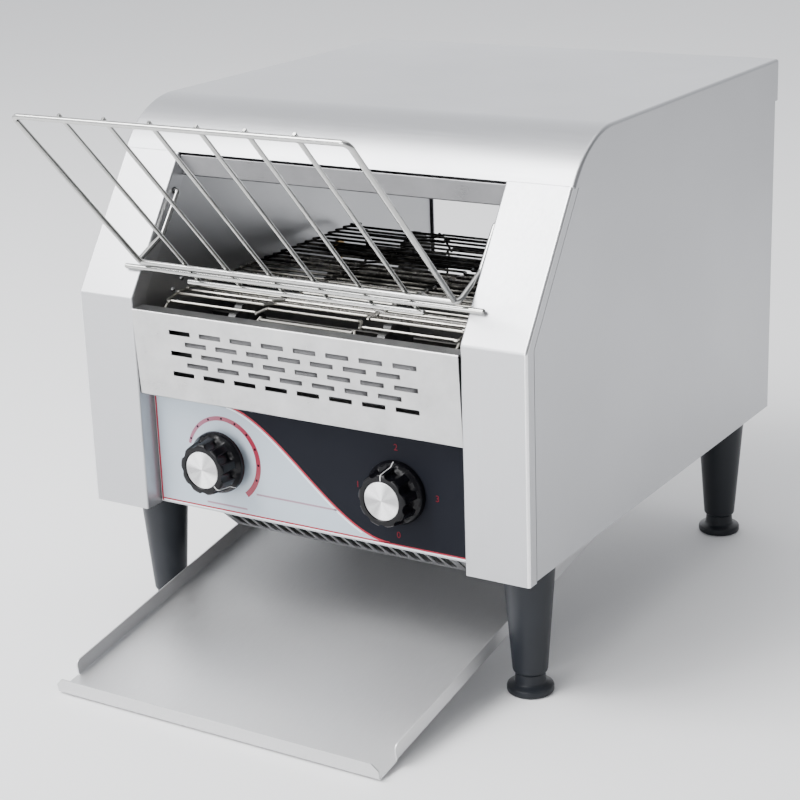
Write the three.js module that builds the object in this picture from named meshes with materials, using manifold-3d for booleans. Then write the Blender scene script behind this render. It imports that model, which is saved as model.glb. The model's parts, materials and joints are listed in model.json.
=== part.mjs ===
// Countertop conveyor toaster: a folded sheet-steel body on four legs, with a wire belt
// that carries bread under and over quartz heating tubes, a hinged wire feed rack above
// the mouth, two control knobs and a sloping toast tray.
// Millimetres. +X is the right-hand side seen from the front, -Y the front, +Z up.

import * as THREE from "three";
import { mergeVertices } from "three/addons/utils/BufferGeometryUtils.js";
import Module from "manifold-3d";

const wasm = await Module();
wasm.setup();

// ---------- driving dimensions ----------
// y is measured from the front face of the columns here; the whole group is moved at the end.

const GAP = 0.3; // left between pieces that touch
const SHEET = 1.2; // body sheet thickness
const THIN = 1; // thickness of the inner and smaller sheets

const BODY_HALF = 183.6; // half the width over the side panels
const BODY_DEPTH = 418;
const BODY_BOTTOM = 100;
const BEND_Z = 260.3; // height at which the front starts to slope
const SLOPE = 0.6935; // run back per unit of rise on the sloping front
const LID_TOP = 387.1;
const SKIRT_BOTTOM = 354.6;
const LID_ARC = 68; // radius of the lid's rolled front
const LID_HALF = 185.1;

const MOUTH_HALF = 134.8; // half the clear width between the columns
const RETURN_INNER = 16.5; // depth of a column's inner return flange
const RETURN_OUTER = 10;
const COLUMN_TOP = 355;

const SEAM = 1.5; // the side panels and the base plate stop this far above the columns
const BASE_Z = BODY_BOTTOM + SEAM;

const PANEL_Y = 16; // face of the recessed control panel
const PANEL_TOP = 200;
const LABEL = 0.5;
const KNOB_X = 73.6;
const KNOB_Z = 144;
const KNOB_DEPTH = 20.5;
const SPEED_KNOB_BACK = 9.3; // y of the back of each knob's skirt
const SELECTOR_KNOB_BACK = 14.8;

const LEG_X = 157.5;
const LEG_Y = [47.3, 380.8];

const BELT_Z = 257.5; // height of the top strand's wires
const BELT_HALF = 122;
const BELT_RADIUS = 21; // from a belt shaft's axis to the wires
const BELT_THICK = 2.2;
const IDLER_Y = 36;
const DRIVE_Y = 267;
const SHAFT_Z = BELT_Z - BELT_RADIUS;
const SHAFT_RADIUS = 5;
const SPROCKET_X = [-62, 62];

const CHAIN_X = 147;
const CHAIN_PITCH = 6.35;
const DRIVEN_TEETH = 16;
const MOTOR_TEETH = 12;
const MOTOR_Y = 330;
const MOTOR_Z = 170;

const TRAY_FRONT = -113; // y of the lip's lower edge
const TRAY_Z = 1;
const TRAY_SLOPE = THREE.MathUtils.degToRad(9.82);
const TRAY_HALF = 134;
const TRAY_LENGTH = 358;
const TRAY_WALL = 12;
const TRAY_WALL_START = 22;

const PIVOT_Y = 57; // the feed rack's hinge
const PIVOT_Z = 328;

// The rack's long wires run from their tips, above the outer bar, down to the foot bar.
const RACK_TIP = [-109.2, 413.3];
const RACK_FOOT = [22.6, 273.4];
const RACK_WIRE = 1.5;
const RACK_ROD = 2;
const WIRE_PITCH = 36.2;

const UPPER_HEATERS = [125, 200, 275];
const UPPER_HEATER_Z = 346;
const LOWER_HEATERS = [98, 150, 202];
const LOWER_HEATER_Z = 242;

const CHAIN_HEIGHT = 6;
const CAP_RADIUS = 15;
const GLAND_X = -158;
const GLAND_Z = 130;
const GLAND_REAR = 430;

const OPENING_HALF = 133; // half the width of the openings for toast
const REAR_OPENING = [168, 337]; // its lower and upper heights
const CHUTE_OPENING = [229, 410];
const GUARD_OPENING = [36, 218];
const GUARD_HALF = 101;

// ---------- materials ----------

function metal(color, roughness) {
  return new THREE.MeshStandardMaterial({ color, roughness, metalness: 1 });
}

function plain(color, roughness) {
  return new THREE.MeshStandardMaterial({ color, roughness, metalness: 0 });
}

const brushedSteel = metal(0xc4c7cc, 0.36);
const innerSteel = metal(0x9a9da2, 0.42);
const trayChute = metal(0xb9bbbf, 0.34);
const chrome = metal(0xe2e4e6, 0.12);
const beltSteel = metal(0x8d8983, 0.4);
const darkSteel = metal(0x4c4a48, 0.5);
const blackPlastic = plain(0x23262b, 0.42);
const glossBlack = plain(0x121315, 0.2);
const spunAluminium = metal(0xe6e7e9, 0.25);
const labelFilm = plain(0xb9c4cf, 0.35);
const quartz = plain(0xe8e2d8, 0.2);
const motorGrey = metal(0x8f9296, 0.45);
const bronze = metal(0xa8824f, 0.35);
const phenolic = plain(0x6b4a34, 0.55);

// ---------- solids ----------

function toSolid(geometry) {
  const bare = geometry.clone();
  bare.deleteAttribute("normal");
  bare.deleteAttribute("uv");
  const merged = mergeVertices(bare, 1e-4);
  return new wasm.Manifold(
    new wasm.Mesh({
      numProp: 3,
      vertProperties: new Float32Array(merged.attributes.position.array),
      triVerts: new Uint32Array(merged.index.array),
    }),
  );
}

function toGeometry(solid) {
  const mesh = solid.getMesh();
  const geometry = new THREE.BufferGeometry();
  const positions = new Float32Array(mesh.vertProperties);
  geometry.setAttribute("position", new THREE.BufferAttribute(positions, 3));
  geometry.setIndex(new THREE.BufferAttribute(new Uint32Array(mesh.triVerts), 1));
  geometry.computeVertexNormals();
  return geometry;
}

function join(...pieces) {
  return pieces.reduce((whole, piece) => whole.add(piece));
}

function cut(body, ...tools) {
  return tools.reduce((whole, tool) => whole.subtract(tool), body);
}

function box(x0, x1, y0, y1, z0, z1) {
  const geometry = new THREE.BoxGeometry(x1 - x0, y1 - y0, z1 - z0);
  geometry.translate((x0 + x1) / 2, (y0 + y1) / 2, (z0 + z1) / 2);
  return toSolid(geometry);
}

function shapeOf(points, holes = []) {
  const shape = new THREE.Shape(points.map(([a, b]) => new THREE.Vector2(a, b)));
  for (const hole of holes) {
    shape.holes.push(new THREE.Path(hole.map(([a, b]) => new THREE.Vector2(a, b))));
  }
  return shape;
}

function extrude(points, depth, holes) {
  const options = { depth, bevelEnabled: false, curveSegments: 6 };
  return new THREE.ExtrudeGeometry(shapeOf(points, holes), options);
}

// A side-view outline of [y, z] points, extruded from x0 to x1.
function prismX(points, x0, x1, holes) {
  const geometry = extrude(points, x1 - x0, holes);
  const basis = new THREE.Matrix4().makeBasis(
    new THREE.Vector3(0, 1, 0),
    new THREE.Vector3(0, 0, 1),
    new THREE.Vector3(1, 0, 0),
  );
  geometry.applyMatrix4(basis);
  geometry.translate(x0, 0, 0);
  return toSolid(geometry);
}

// A front-view outline of [x, z] points, extruded from y0 to y1.
function prismY(points, y0, y1, holes) {
  const geometry = extrude(points, y1 - y0, holes);
  geometry.rotateX(Math.PI / 2);
  geometry.translate(0, y1, 0);
  return toSolid(geometry);
}

function cylinder(radius, length, sides = 24) {
  return new THREE.CylinderGeometry(radius, radius, length, sides);
}

function cylinderX(x0, x1, y, z, radius, sides) {
  const geometry = cylinder(radius, x1 - x0, sides);
  geometry.rotateZ(Math.PI / 2);
  geometry.translate((x0 + x1) / 2, y, z);
  return toSolid(geometry);
}

function cylinderY(x, y0, y1, z, radius, sides) {
  const geometry = cylinder(radius, y1 - y0, sides);
  geometry.translate(x, (y0 + y1) / 2, z);
  return toSolid(geometry);
}

function cylinderZ(x, y, z0, z1, radius, sides) {
  const geometry = cylinder(radius, z1 - z0, sides);
  geometry.rotateX(Math.PI / 2);
  geometry.translate(x, y, (z0 + z1) / 2);
  return toSolid(geometry);
}

// A closed outline that follows an open path of [a, b] points at a thickness,
// to the left of the direction of travel.
function ribbon(path, thickness) {
  const offset = path.map((point, i) => {
    const before = path[Math.max(i - 1, 0)];
    const after = path[Math.min(i + 1, path.length - 1)];
    const u = unit(i === 0 ? point : before, i === 0 ? after : point);
    const v = unit(i === path.length - 1 ? before : point, i === path.length - 1 ? point : after);
    const nx = -(u[1] + v[1]);
    const ny = u[0] + v[0];
    const scale = (2 * thickness) / (nx * nx + ny * ny);
    return [point[0] + nx * scale, point[1] + ny * scale];
  });
  return [...path, ...offset.reverse()];
}

function unit(a, b) {
  const length = Math.hypot(b[0] - a[0], b[1] - a[1]);
  return [(b[0] - a[0]) / length, (b[1] - a[1]) / length];
}

function arc(cy, cz, radius, from, to, steps) {
  const points = [];
  for (let i = 0; i <= steps; i++) {
    const angle = from + ((to - from) * i) / steps;
    points.push([cy + radius * Math.cos(angle), cz + radius * Math.sin(angle)]);
  }
  return points;
}

// The outline of a band stretched round two circles, each given as [y, z, radius].
function bandOutline([y0, z0, r0], [y1, z1, r1], steps = 14) {
  const length = Math.hypot(y1 - y0, z1 - z0);
  const heading = Math.atan2(z1 - z0, y1 - y0);
  const lean = Math.acos((r0 - r1) / length);
  return [
    ...arc(y1, z1, r1, heading - lean, heading + lean, steps),
    ...arc(y0, z0, r0, heading + lean, heading + 2 * Math.PI - lean, steps),
  ];
}

function band(first, second, thickness, x0, x1) {
  const outer = bandOutline(grow(first, thickness / 2), grow(second, thickness / 2));
  const inner = bandOutline(grow(first, -thickness / 2), grow(second, -thickness / 2));
  return prismX(outer, x0, x1, [inner]);
}

function grow([y, z, radius], by) {
  return [y, z, radius + by];
}

// A path through given points, for a rod that is mitred at each of them.
class RodPath extends THREE.Curve {
  constructor(points) {
    super();
    this.points = points;
  }

  getPoint(t) {
    return this.points[Math.round(t * (this.points.length - 1))].clone();
  }

  getPointAt(t) {
    return this.getPoint(t);
  }

  getTangent(t) {
    const last = this.points.length - 1;
    const i = Math.round(t * last);
    const into = this.points[Math.max(i, 1)].clone().sub(this.points[Math.max(i - 1, 0)]);
    const out = this.points[Math.min(i + 1, last)].clone().sub(this.points[Math.min(i, last - 1)]);
    return into.normalize().add(out.normalize()).normalize();
  }

  getTangentAt(t) {
    return this.getTangent(t);
  }
}

// A round rod through [x, y, z] corners, bent at a radius at each inner corner.
function rod(corners, radius, bend = 0, sides = 8) {
  const at = corners.map(([x, y, z]) => new THREE.Vector3(x, y, z));
  const points = [at[0]];
  for (let i = 1; i < at.length - 1; i++) {
    points.push(...bendPoints(at[i - 1], at[i], at[i + 1], bend));
  }
  points.push(at[at.length - 1]);
  const section = new THREE.Shape(
    new THREE.EllipseCurve(0, 0, radius, radius).getPoints(sides).slice(0, sides),
  );
  const options = { steps: points.length - 1, extrudePath: new RodPath(points), bevelEnabled: false };
  return toSolid(new THREE.ExtrudeGeometry(section, options));
}

function bendPoints(before, corner, after, bend, steps = 4) {
  const from = before.clone().sub(corner).normalize().multiplyScalar(bend).add(corner);
  const to = after.clone().sub(corner).normalize().multiplyScalar(bend).add(corner);
  return new THREE.QuadraticBezierCurve3(from, corner, to).getPoints(steps);
}

// Teeth round a disc, as an outline of [y, z] points.
function toothedOutline(cy, cz, teeth, root, tip) {
  const points = [];
  const step = (2 * Math.PI) / teeth;
  for (let i = 0; i < teeth; i++) {
    for (const [part, radius] of [[0.1, tip], [0.3, root], [0.7, root], [0.9, tip]]) {
      const angle = (i + part) * step;
      points.push([cy + radius * Math.cos(angle), cz + radius * Math.sin(angle)]);
    }
  }
  return points;
}

function circleOutline(cy, cz, radius, sides = 20) {
  return arc(cy, cz, radius, 0, 2 * Math.PI, sides).slice(0, sides);
}

// ---------- the assembly ----------

const toaster = new THREE.Group();

function addPiece(name, material, solid) {
  const mesh = new THREE.Mesh(toGeometry(solid), material);
  mesh.name = name;
  toaster.add(mesh);
}

function frontY(z) {
  return Math.max(0, (z - BEND_Z) * SLOPE);
}

// ---------- outer body ----------

// The front edge seen from the side, moved back by a distance, from a lower to an upper height.
function frontLine(back, low, high) {
  return [
    [back, low],
    [back, BEND_Z],
    [frontY(high) + back, high],
  ];
}

function frontColumn(side) {
  const at = (a, b) => (side > 0 ? [a, b] : [-b, -a]);
  const line = frontLine(0, BODY_BOTTOM, COLUMN_TOP);
  const flange = (depth) => [...line, ...frontLine(depth, BODY_BOTTOM, COLUMN_TOP).reverse()];
  const face = prismX(ribbon([...line].reverse(), SHEET), ...at(MOUTH_HALF, BODY_HALF));
  const inner = prismX(flange(RETURN_INNER), ...at(MOUTH_HALF, MOUTH_HALF + SHEET));
  const outer = prismX(flange(RETURN_OUTER), ...at(BODY_HALF - SHEET, BODY_HALF));
  const hinge = cylinderX(...at(MOUTH_HALF - 1, MOUTH_HALF + 3), PIVOT_Y, PIVOT_Z, 2.6, 16);
  return cut(join(face, inner, outer), hinge);
}

function sidePanel(side) {
  const top = 370;
  const outline = [
    ...frontLine(RETURN_OUTER + GAP, BASE_Z, top),
    [BODY_DEPTH - SHEET - GAP, top],
    [BODY_DEPTH - SHEET - GAP, BASE_Z],
  ];
  const outside = side * BODY_HALF;
  const inside = side * (BODY_HALF - SHEET);
  return prismX(outline, Math.min(outside, inside), Math.max(outside, inside));
}

// The lid's outline from its front edge over the rolled front to the flat top.
function lidProfile() {
  const turn = Math.atan(1 / SLOPE);
  const centreZ = LID_TOP - LID_ARC;
  const startZ = centreZ + LID_ARC * Math.cos(turn);
  const centreY = frontY(startZ) + LID_ARC * Math.sin(turn);
  const edgeZ = SKIRT_BOTTOM + 1.7;
  return [
    [frontY(edgeZ), edgeZ],
    ...arc(centreY, centreZ, LID_ARC, Math.PI / 2 + turn, Math.PI / 2, 12),
  ];
}

function topCover() {
  const rear = BODY_DEPTH + GAP + SHEET;
  const over = [...lidProfile(), [rear, LID_TOP], [rear, SKIRT_BOTTOM]];
  const skin = prismX(ribbon([...over].reverse(), SHEET), -LID_HALF, LID_HALF);
  const side = [...over, [frontY(SKIRT_BOTTOM), SKIRT_BOTTOM]];
  const left = prismX(side, -LID_HALF, SHEET - LID_HALF);
  const right = prismX(side, LID_HALF - SHEET, LID_HALF);
  return join(skin, left, right);
}

function frontHeader() {
  const path = [
    [77, 352.6],
    [66.4, 352.6],
    [67.4, 337.2],
    [77, 337.2],
  ];
  return prismX(ribbon(path, THIN), -MOUTH_HALF + GAP, MOUTH_HALF - GAP);
}

function rearPanel() {
  const half = BODY_HALF - SHEET - GAP;
  const plate = box(-half, half, BODY_DEPTH - SHEET, BODY_DEPTH, BASE_Z, 383);
  const through = [BODY_DEPTH - 5, BODY_DEPTH + 5];
  const opening = box(-OPENING_HALF, OPENING_HALF, ...through, ...REAR_OPENING);
  const gland = cylinderY(GLAND_X, ...through, GLAND_Z, 8, 20);
  return cut(plate, opening, gland);
}

function basePlate() {
  const half = BODY_HALF - SHEET - GAP;
  const rear = BODY_DEPTH - SHEET - GAP;
  const plate = box(-half, half, 31, rear, BASE_Z, BASE_Z + SHEET);
  const through = [BASE_Z - 5, BASE_Z + 5];
  const chuteHole = box(-OPENING_HALF, OPENING_HALF, ...CHUTE_OPENING, ...through);
  const guardWell = box(6 - GUARD_HALF, GUARD_HALF - 6, ...GUARD_OPENING, ...through);
  return cut(join(plate, trayHanger(-1), trayHanger(1)), chuteHole, guardWell);
}

// An angle hung from the base plate, whose lip carries the tray's edge.
function trayHanger(side) {
  const start = 345;
  const end = 458;
  const lipWidth = 9;
  const below = -GAP;
  const web = [trayPoint(start, below - THIN), trayPoint(end, below - THIN)];
  const inside = TRAY_HALF + 1.2;
  const outside = inside + THIN;
  const wallX = Math.min(side * inside, side * outside);
  const wall = prismX([...web, [web[1][0], BASE_Z], [web[0][0], BASE_Z]], wallX, wallX + THIN);
  const lip = [...web, trayPoint(end, below), trayPoint(start, below)];
  const lipX = Math.min(side * (inside - lipWidth), side * outside);
  return join(wall, prismX(lip, lipX, lipX + lipWidth + THIN));
}

// ---------- front panels ----------

function ventPanel() {
  const path = [
    [11, 253.9],
    [-1.8, 253.9],
    [2.4, 189],
    [13, 189],
  ];
  const plate = prismX(ribbon(path, THIN), -MOUTH_HALF + 0.6, MOUTH_HALF - 0.6);
  const slotPitch = 26.6;
  const rowPitch = 7.8;
  const topRow = 240.2;
  const halfSlot = [9.3, 1.75];
  const tools = [];
  for (let row = 0; row < 5; row++) {
    const count = row % 2 === 0 ? 8 : 7;
    const z = topRow - row * rowPitch;
    for (let i = 0; i < count; i++) {
      const x = (i - (count - 1) / 2) * slotPitch;
      tools.push(box(x - halfSlot[0], x + halfSlot[0], -6, 8, z - halfSlot[1], z + halfSlot[1]));
    }
  }
  return cut(plate, ...tools);
}

function controlPanel() {
  const path = [
    [30, BASE_Z],
    [PANEL_Y, BASE_Z],
    [PANEL_Y, PANEL_TOP],
  ];
  const half = MOUTH_HALF - 0.5;
  const plate = prismX(ribbon([...path].reverse(), SHEET), -half, half);
  return cut(plate, spindleHole(-KNOB_X), spindleHole(KNOB_X));
}

function controlLabel() {
  const back = PANEL_Y - 0.1;
  const film = box(-133.2, 133.2, back - LABEL, back, BASE_Z + 1.2, 186);
  return cut(film, spindleHole(-KNOB_X), spindleHole(KNOB_X));
}

function spindleHole(x) {
  return cylinderY(x, 0, 24, KNOB_Z, 5, 20);
}

// A folded baffle behind the vent slots, in front of the belt.
function frontBaffle() {
  const path = [
    [4.5, 249.5],
    [9, 243],
    [9, 208],
    [13, 204.5],
  ];
  return prismX(ribbon(path, THIN), -133, 133);
}

// ---------- inner sheets ----------

function innerWall(side) {
  const top = 350;
  const outline = [
    ...frontLine(RETURN_INNER + GAP, BASE_Z + SHEET + GAP, top),
    [414, top],
    [414, BASE_Z + SHEET + GAP],
  ];
  const x = side * (MOUTH_HALF + 0.2);
  const x0 = Math.min(x, x + side * THIN);
  const plate = prismX(outline, x0, x0 + THIN);
  const bore = (y, z, radius) => cylinderX(x - 3, x + 3, y, z, radius, 20);
  const shaftHole = 8.4;
  const heaterHole = 5.4;
  const tools = [bore(IDLER_Y, SHAFT_Z, shaftHole), bore(DRIVE_Y, SHAFT_Z, shaftHole)];
  for (const y of UPPER_HEATERS) {
    tools.push(bore(y, UPPER_HEATER_Z, heaterHole));
  }
  for (const y of LOWER_HEATERS) {
    tools.push(bore(y, LOWER_HEATER_Z, heaterHole));
  }
  return cut(plate, ...tools);
}

function heatShield() {
  const path = [
    [14, 202],
    [250, 202],
    [262, 192],
  ];
  return prismX(ribbon(path, THIN), -133.5, 133.5);
}

function upperReflector() {
  const path = [
    [84, 345],
    [96, 354],
    [316, 354],
    [328, 345],
  ];
  return prismX(ribbon(path, THIN), -133.5, 133.5);
}

function lowerReflector() {
  const path = [
    [70, 237],
    [78, 226],
    [222, 226],
    [230, 237],
  ];
  return prismX(ribbon([...path].reverse(), THIN), -118, 118);
}

// The trough under the body: a perforated front slope, then a floor that rises to the rear.
function lowerGuard() {
  const line = [
    [22, 100],
    [31, 100],
    [63, 71],
    [224, 98.8],
  ];
  const half = GUARD_HALF;
  const floor = prismX(ribbon(line, THIN), -half, half);
  const cheek = [...line.slice(1), [224, 100]];
  const left = prismX(cheek, -half, THIN - half);
  const right = prismX(cheek, half - THIN, half);
  const holes = [];
  const pitch = 10.1;
  for (let i = 0; i < 19; i++) {
    holes.push(guardHole((i - 9) * pitch));
  }
  return cut(join(floor, left, right), ...holes);
}

// One obround hole through the guard's front slope.
function guardHole(x) {
  const reach = 5;
  const radius = 3.4;
  const outline = [
    ...arc(reach, 0, radius, -Math.PI / 2, Math.PI / 2, 4),
    ...arc(-reach, 0, radius, Math.PI / 2, 1.5 * Math.PI, 4),
  ];
  const geometry = extrude(outline, 12);
  geometry.translate(0, 0, -6);
  geometry.rotateZ(Math.PI / 2);
  geometry.rotateX(-Math.atan2(29, 32));
  geometry.translate(x, 53, 80.5);
  return toSolid(geometry);
}

// ---------- toast path ----------

// A point given along and above the tray's floor, as [y, z].
function trayPoint(along, above) {
  const c = Math.cos(TRAY_SLOPE);
  const s = Math.sin(TRAY_SLOPE);
  return [TRAY_FRONT + along * c - above * s, TRAY_Z + along * s + above * c];
}

function toastChute() {
  const above = 4;
  const end = [411, 166];
  const start = trayPoint(350, above);
  const turn = trayPoint(470, above);
  const curve = new THREE.QuadraticBezierCurve(
    new THREE.Vector2(...turn),
    new THREE.Vector2(393, 92.5),
    new THREE.Vector2(...end),
  );
  const path = [start, ...curve.getPoints(7).map((p) => [p.x, p.y])];
  const half = 131.6;
  const floor = prismX(ribbon(path, THIN), -half, half);
  const cheek = [...path, [398, 166], [375, 110], [start[0], 110]];
  const left = prismX(cheek, -half, THIN - half);
  const right = prismX(cheek, half - THIN, half);
  return join(floor, left, right);
}

function toastTray() {
  const chamfer = 5;
  const round = 4;
  const floor = box(-TRAY_HALF, TRAY_HALF, 0, TRAY_LENGTH, 0, THIN);
  const lipOutline = [
    [-TRAY_HALF, 0],
    [TRAY_HALF, 0],
    [TRAY_HALF, TRAY_WALL - chamfer],
    [TRAY_HALF - chamfer, TRAY_WALL],
    [chamfer - TRAY_HALF, TRAY_WALL],
    [-TRAY_HALF, TRAY_WALL - chamfer],
  ];
  const lip = prismY(lipOutline, 0, THIN);
  const corner = arc(TRAY_WALL_START + round, TRAY_WALL - round, round, Math.PI, Math.PI / 2, 4);
  const wall = [[TRAY_WALL_START, 0], ...corner, [TRAY_LENGTH, TRAY_WALL], [TRAY_LENGTH, 0]];
  const left = prismX(wall, -TRAY_HALF, THIN - TRAY_HALF);
  const right = prismX(wall, TRAY_HALF - THIN, TRAY_HALF);
  const flat = toGeometry(join(floor, lip, left, right));
  flat.rotateX(TRAY_SLOPE);
  flat.translate(0, TRAY_FRONT, TRAY_Z);
  return toSolid(flat);
}

// ---------- heating ----------

// A quartz tube with a ceramic cap on each end, as one turned shape.
function heaterTube(y, z) {
  const profile = [
    [0, -152],
    [4.2, -152],
    [5, -151],
    [5, -139],
    [4.2, -138],
    [4.2, 138],
    [5, 139],
    [5, 151],
    [4.2, 152],
    [0, 152],
  ];
  const geometry = new THREE.LatheGeometry(profile.map(([r, a]) => new THREE.Vector2(r, a)), 12);
  geometry.rotateZ(-Math.PI / 2);
  geometry.translate(0, y, z);
  return toSolid(geometry);
}

// ---------- belt drive ----------

function wireBelt() {
  const front = [IDLER_Y, SHAFT_Z, BELT_RADIUS];
  const rear = [DRIVE_Y, SHAFT_Z, BELT_RADIUS];
  return band(front, rear, BELT_THICK, -BELT_HALF, BELT_HALF);
}

function beltSprocket(x, y) {
  const bore = circleOutline(y, SHAFT_Z, SHAFT_RADIUS + 0.35);
  const outline = toothedOutline(y, SHAFT_Z, 12, 15.5, 19.4);
  return prismX(outline, x - 4, x + 4, [bore]);
}

function beltShaft(y, x0, x1) {
  return cylinderX(x0, x1, y, SHAFT_Z, SHAFT_RADIUS, 16);
}

// A flanged bush that fills a shaft's hole in an inner wall.
function shaftBush(side, y) {
  const wall = MOUTH_HALF + 0.2;
  const half = [
    [SHAFT_RADIUS + 0.4, wall - 2],
    [8, wall - 2],
    [8, wall + THIN + GAP],
    [12, wall + THIN + GAP],
    [12, wall + THIN + 3],
    [SHAFT_RADIUS + 0.4, wall + THIN + 3],
    [SHAFT_RADIUS + 0.4, wall - 2],
  ];
  const geometry = new THREE.LatheGeometry(half.map(([r, a]) => new THREE.Vector2(r, a)), 20);
  geometry.rotateZ(-Math.PI / 2);
  if (side < 0) {
    geometry.rotateY(Math.PI);
  }
  geometry.translate(0, y, SHAFT_Z);
  return toSolid(geometry);
}

function pitchRadius(teeth) {
  return CHAIN_PITCH / (2 * Math.sin(Math.PI / teeth));
}

function driveChain() {
  const driven = [DRIVE_Y, SHAFT_Z, pitchRadius(DRIVEN_TEETH)];
  const motor = [MOTOR_Y, MOTOR_Z, pitchRadius(MOTOR_TEETH)];
  return band(driven, motor, CHAIN_HEIGHT, CHAIN_X - 3.5, CHAIN_X + 3.5);
}

function chainSprocketTip(teeth) {
  return pitchRadius(teeth) - CHAIN_HEIGHT / 2 - 0.4;
}

function drivenSprocket() {
  const tip = chainSprocketTip(DRIVEN_TEETH);
  const bore = circleOutline(DRIVE_Y, SHAFT_Z, SHAFT_RADIUS + 0.35);
  const outline = toothedOutline(DRIVE_Y, SHAFT_Z, DRIVEN_TEETH, tip - 2, tip);
  return prismX(outline, CHAIN_X - 2, CHAIN_X + 2, [bore]);
}

// The motor's output shaft with its sprocket.
function motorSprocket() {
  const tip = chainSprocketTip(MOTOR_TEETH);
  const outline = toothedOutline(MOTOR_Y, MOTOR_Z, MOTOR_TEETH, tip - 2, tip);
  const wheel = prismX(outline, CHAIN_X - 2, CHAIN_X + 2);
  return join(wheel, cylinderX(CHAIN_X - 5, 166, MOTOR_Y, MOTOR_Z, 4, 16));
}

// A flat gear motor on a foot plate, between the chain and the right-hand side panel.
function gearMotor() {
  const front = MOTOR_Y - 20;
  const rear = MOTOR_Y + 20;
  const foot = BASE_Z + SHEET + GAP;
  const can = cylinderX(161, 181.4, MOTOR_Y, MOTOR_Z, 29, 32);
  const gearbox = cylinderX(156, 161.5, MOTOR_Y, MOTOR_Z, 24, 32);
  const plate = box(157, 159, front, rear, foot, MOTOR_Z);
  const flange = box(157, 179, front, rear, foot, foot + 2);
  const bore = cylinderX(150, 167, MOTOR_Y, MOTOR_Z, 4.4, 16);
  return cut(join(can, gearbox, plate, flange), bore);
}

// ---------- electrical parts ----------

function speedControl() {
  const front = PANEL_Y + SHEET + GAP;
  const half = 22;
  const x = -KNOB_X;
  const body = box(x - half, x + half, front, front + 32, KNOB_Z - half, KNOB_Z + half);
  const board = box(x - 30, x + 30, front + 31, front + 34, KNOB_Z - 26, KNOB_Z + 30);
  return cut(join(body, board), cylinderY(x, 10, 30, KNOB_Z, 3.4, 16));
}

function selectorSwitch() {
  const front = PANEL_Y + SHEET + GAP;
  const half = 20;
  const x = KNOB_X;
  const body = cylinderY(x, front, front + 38, KNOB_Z, 21, 20);
  const base = box(x - half, x + half, front, front + 8, KNOB_Z - half, KNOB_Z + half);
  return cut(join(body, base), cylinderY(x, 10, 30, KNOB_Z, 3.4, 16));
}

// A moulded block with slots between its five terminals.
function terminalBlock() {
  const z = BASE_Z + SHEET + GAP;
  const start = 320;
  const pitch = 12.8;
  const slot = 3;
  const body = box(-176, -152, start, start + 5 * pitch, z, z + 22);
  const tools = [];
  for (let i = 1; i < 5; i++) {
    const y = start + i * pitch - slot / 2;
    tools.push(box(-180, -148, y, y + slot, z + 12, z + 30));
  }
  return cut(body, ...tools);
}

// The mains cable's gland in the rear panel.
function cableGland() {
  const profile = [
    [4.5, BODY_DEPTH - 12],
    [11, BODY_DEPTH - 12],
    [11, BODY_DEPTH - SHEET - GAP],
    [7.6, BODY_DEPTH - SHEET - GAP],
    [7.6, BODY_DEPTH + GAP],
    [11, BODY_DEPTH + GAP],
    [11, BODY_DEPTH + 5],
    [8.5, GLAND_REAR],
    [4.5, GLAND_REAR],
    [4.5, BODY_DEPTH - 12],
  ];
  const geometry = new THREE.LatheGeometry(profile.map(([r, a]) => new THREE.Vector2(r, a)), 20);
  geometry.translate(GLAND_X, 0, GLAND_Z);
  return toSolid(geometry);
}

// ---------- knobs ----------

function knob(x, back) {
  const front = back - KNOB_DEPTH;
  const profile = [
    [0, front + 1.6],
    [CAP_RADIUS + 0.4, front + 1.6],
    [CAP_RADIUS + 0.4, front + 0.6],
    [17.6, front],
    [19, front + 1.4],
    [20.2, back - 6.5],
    [22, back - 4.5],
    [23, back - 1.5],
    [23, back],
    [0, back],
  ];
  const geometry = new THREE.LatheGeometry(profile.map(([r, a]) => new THREE.Vector2(r, a)), 32);
  geometry.translate(x, 0, KNOB_Z);
  const flutes = [];
  for (let i = 0; i < 9; i++) {
    const angle = ((i + 0.5) * 2 * Math.PI) / 9;
    const flute = cylinder(4.2, 30, 12);
    flute.translate(22.4 * Math.sin(angle), back - 7 - 15, 22.4 * Math.cos(angle));
    flute.translate(x, 0, KNOB_Z);
    flutes.push(toSolid(flute));
  }
  const bore = cylinderY(x, back - 14, back + 2, KNOB_Z, 3.4, 16);
  return cut(toSolid(geometry), ...flutes, bore);
}

function knobCap(x, back) {
  const front = back - KNOB_DEPTH;
  return cylinderY(x, front + 0.3, front + 1.3, KNOB_Z, CAP_RADIUS, 32);
}

function spindle(x, back) {
  return cylinderY(x, back - 13.6, 28, KNOB_Z, 3, 16);
}

// ---------- legs ----------

function leg(x, y) {
  const profile = [
    [0, 15.5],
    [12, 15.5],
    [12.4, 17],
    [18.2, 92],
    [19, 96],
    [19, BASE_Z - GAP],
    [0, BASE_Z - GAP],
  ];
  const geometry = new THREE.LatheGeometry(profile.map(([r, a]) => new THREE.Vector2(r, a)), 24);
  geometry.rotateX(Math.PI / 2);
  geometry.translate(x, y, 0);
  return cut(toSolid(geometry), cylinderZ(x, y, 10, 42, 4.6, 16));
}

// A foot whose stud screws up into its leg.
function foot(x, y) {
  const profile = [
    [0, 0],
    [15.6, 0],
    [16.6, 1],
    [16.6, 4.6],
    [15.6, 5.8],
    [11, 7],
    [10.4, 15],
    [4.1, 15],
    [4.1, 40],
    [0, 40],
  ];
  const geometry = new THREE.LatheGeometry(profile.map(([r, a]) => new THREE.Vector2(r, a)), 24);
  geometry.rotateX(Math.PI / 2);
  geometry.translate(x, y, 0);
  return toSolid(geometry);
}

// ---------- feed rack ----------

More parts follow.
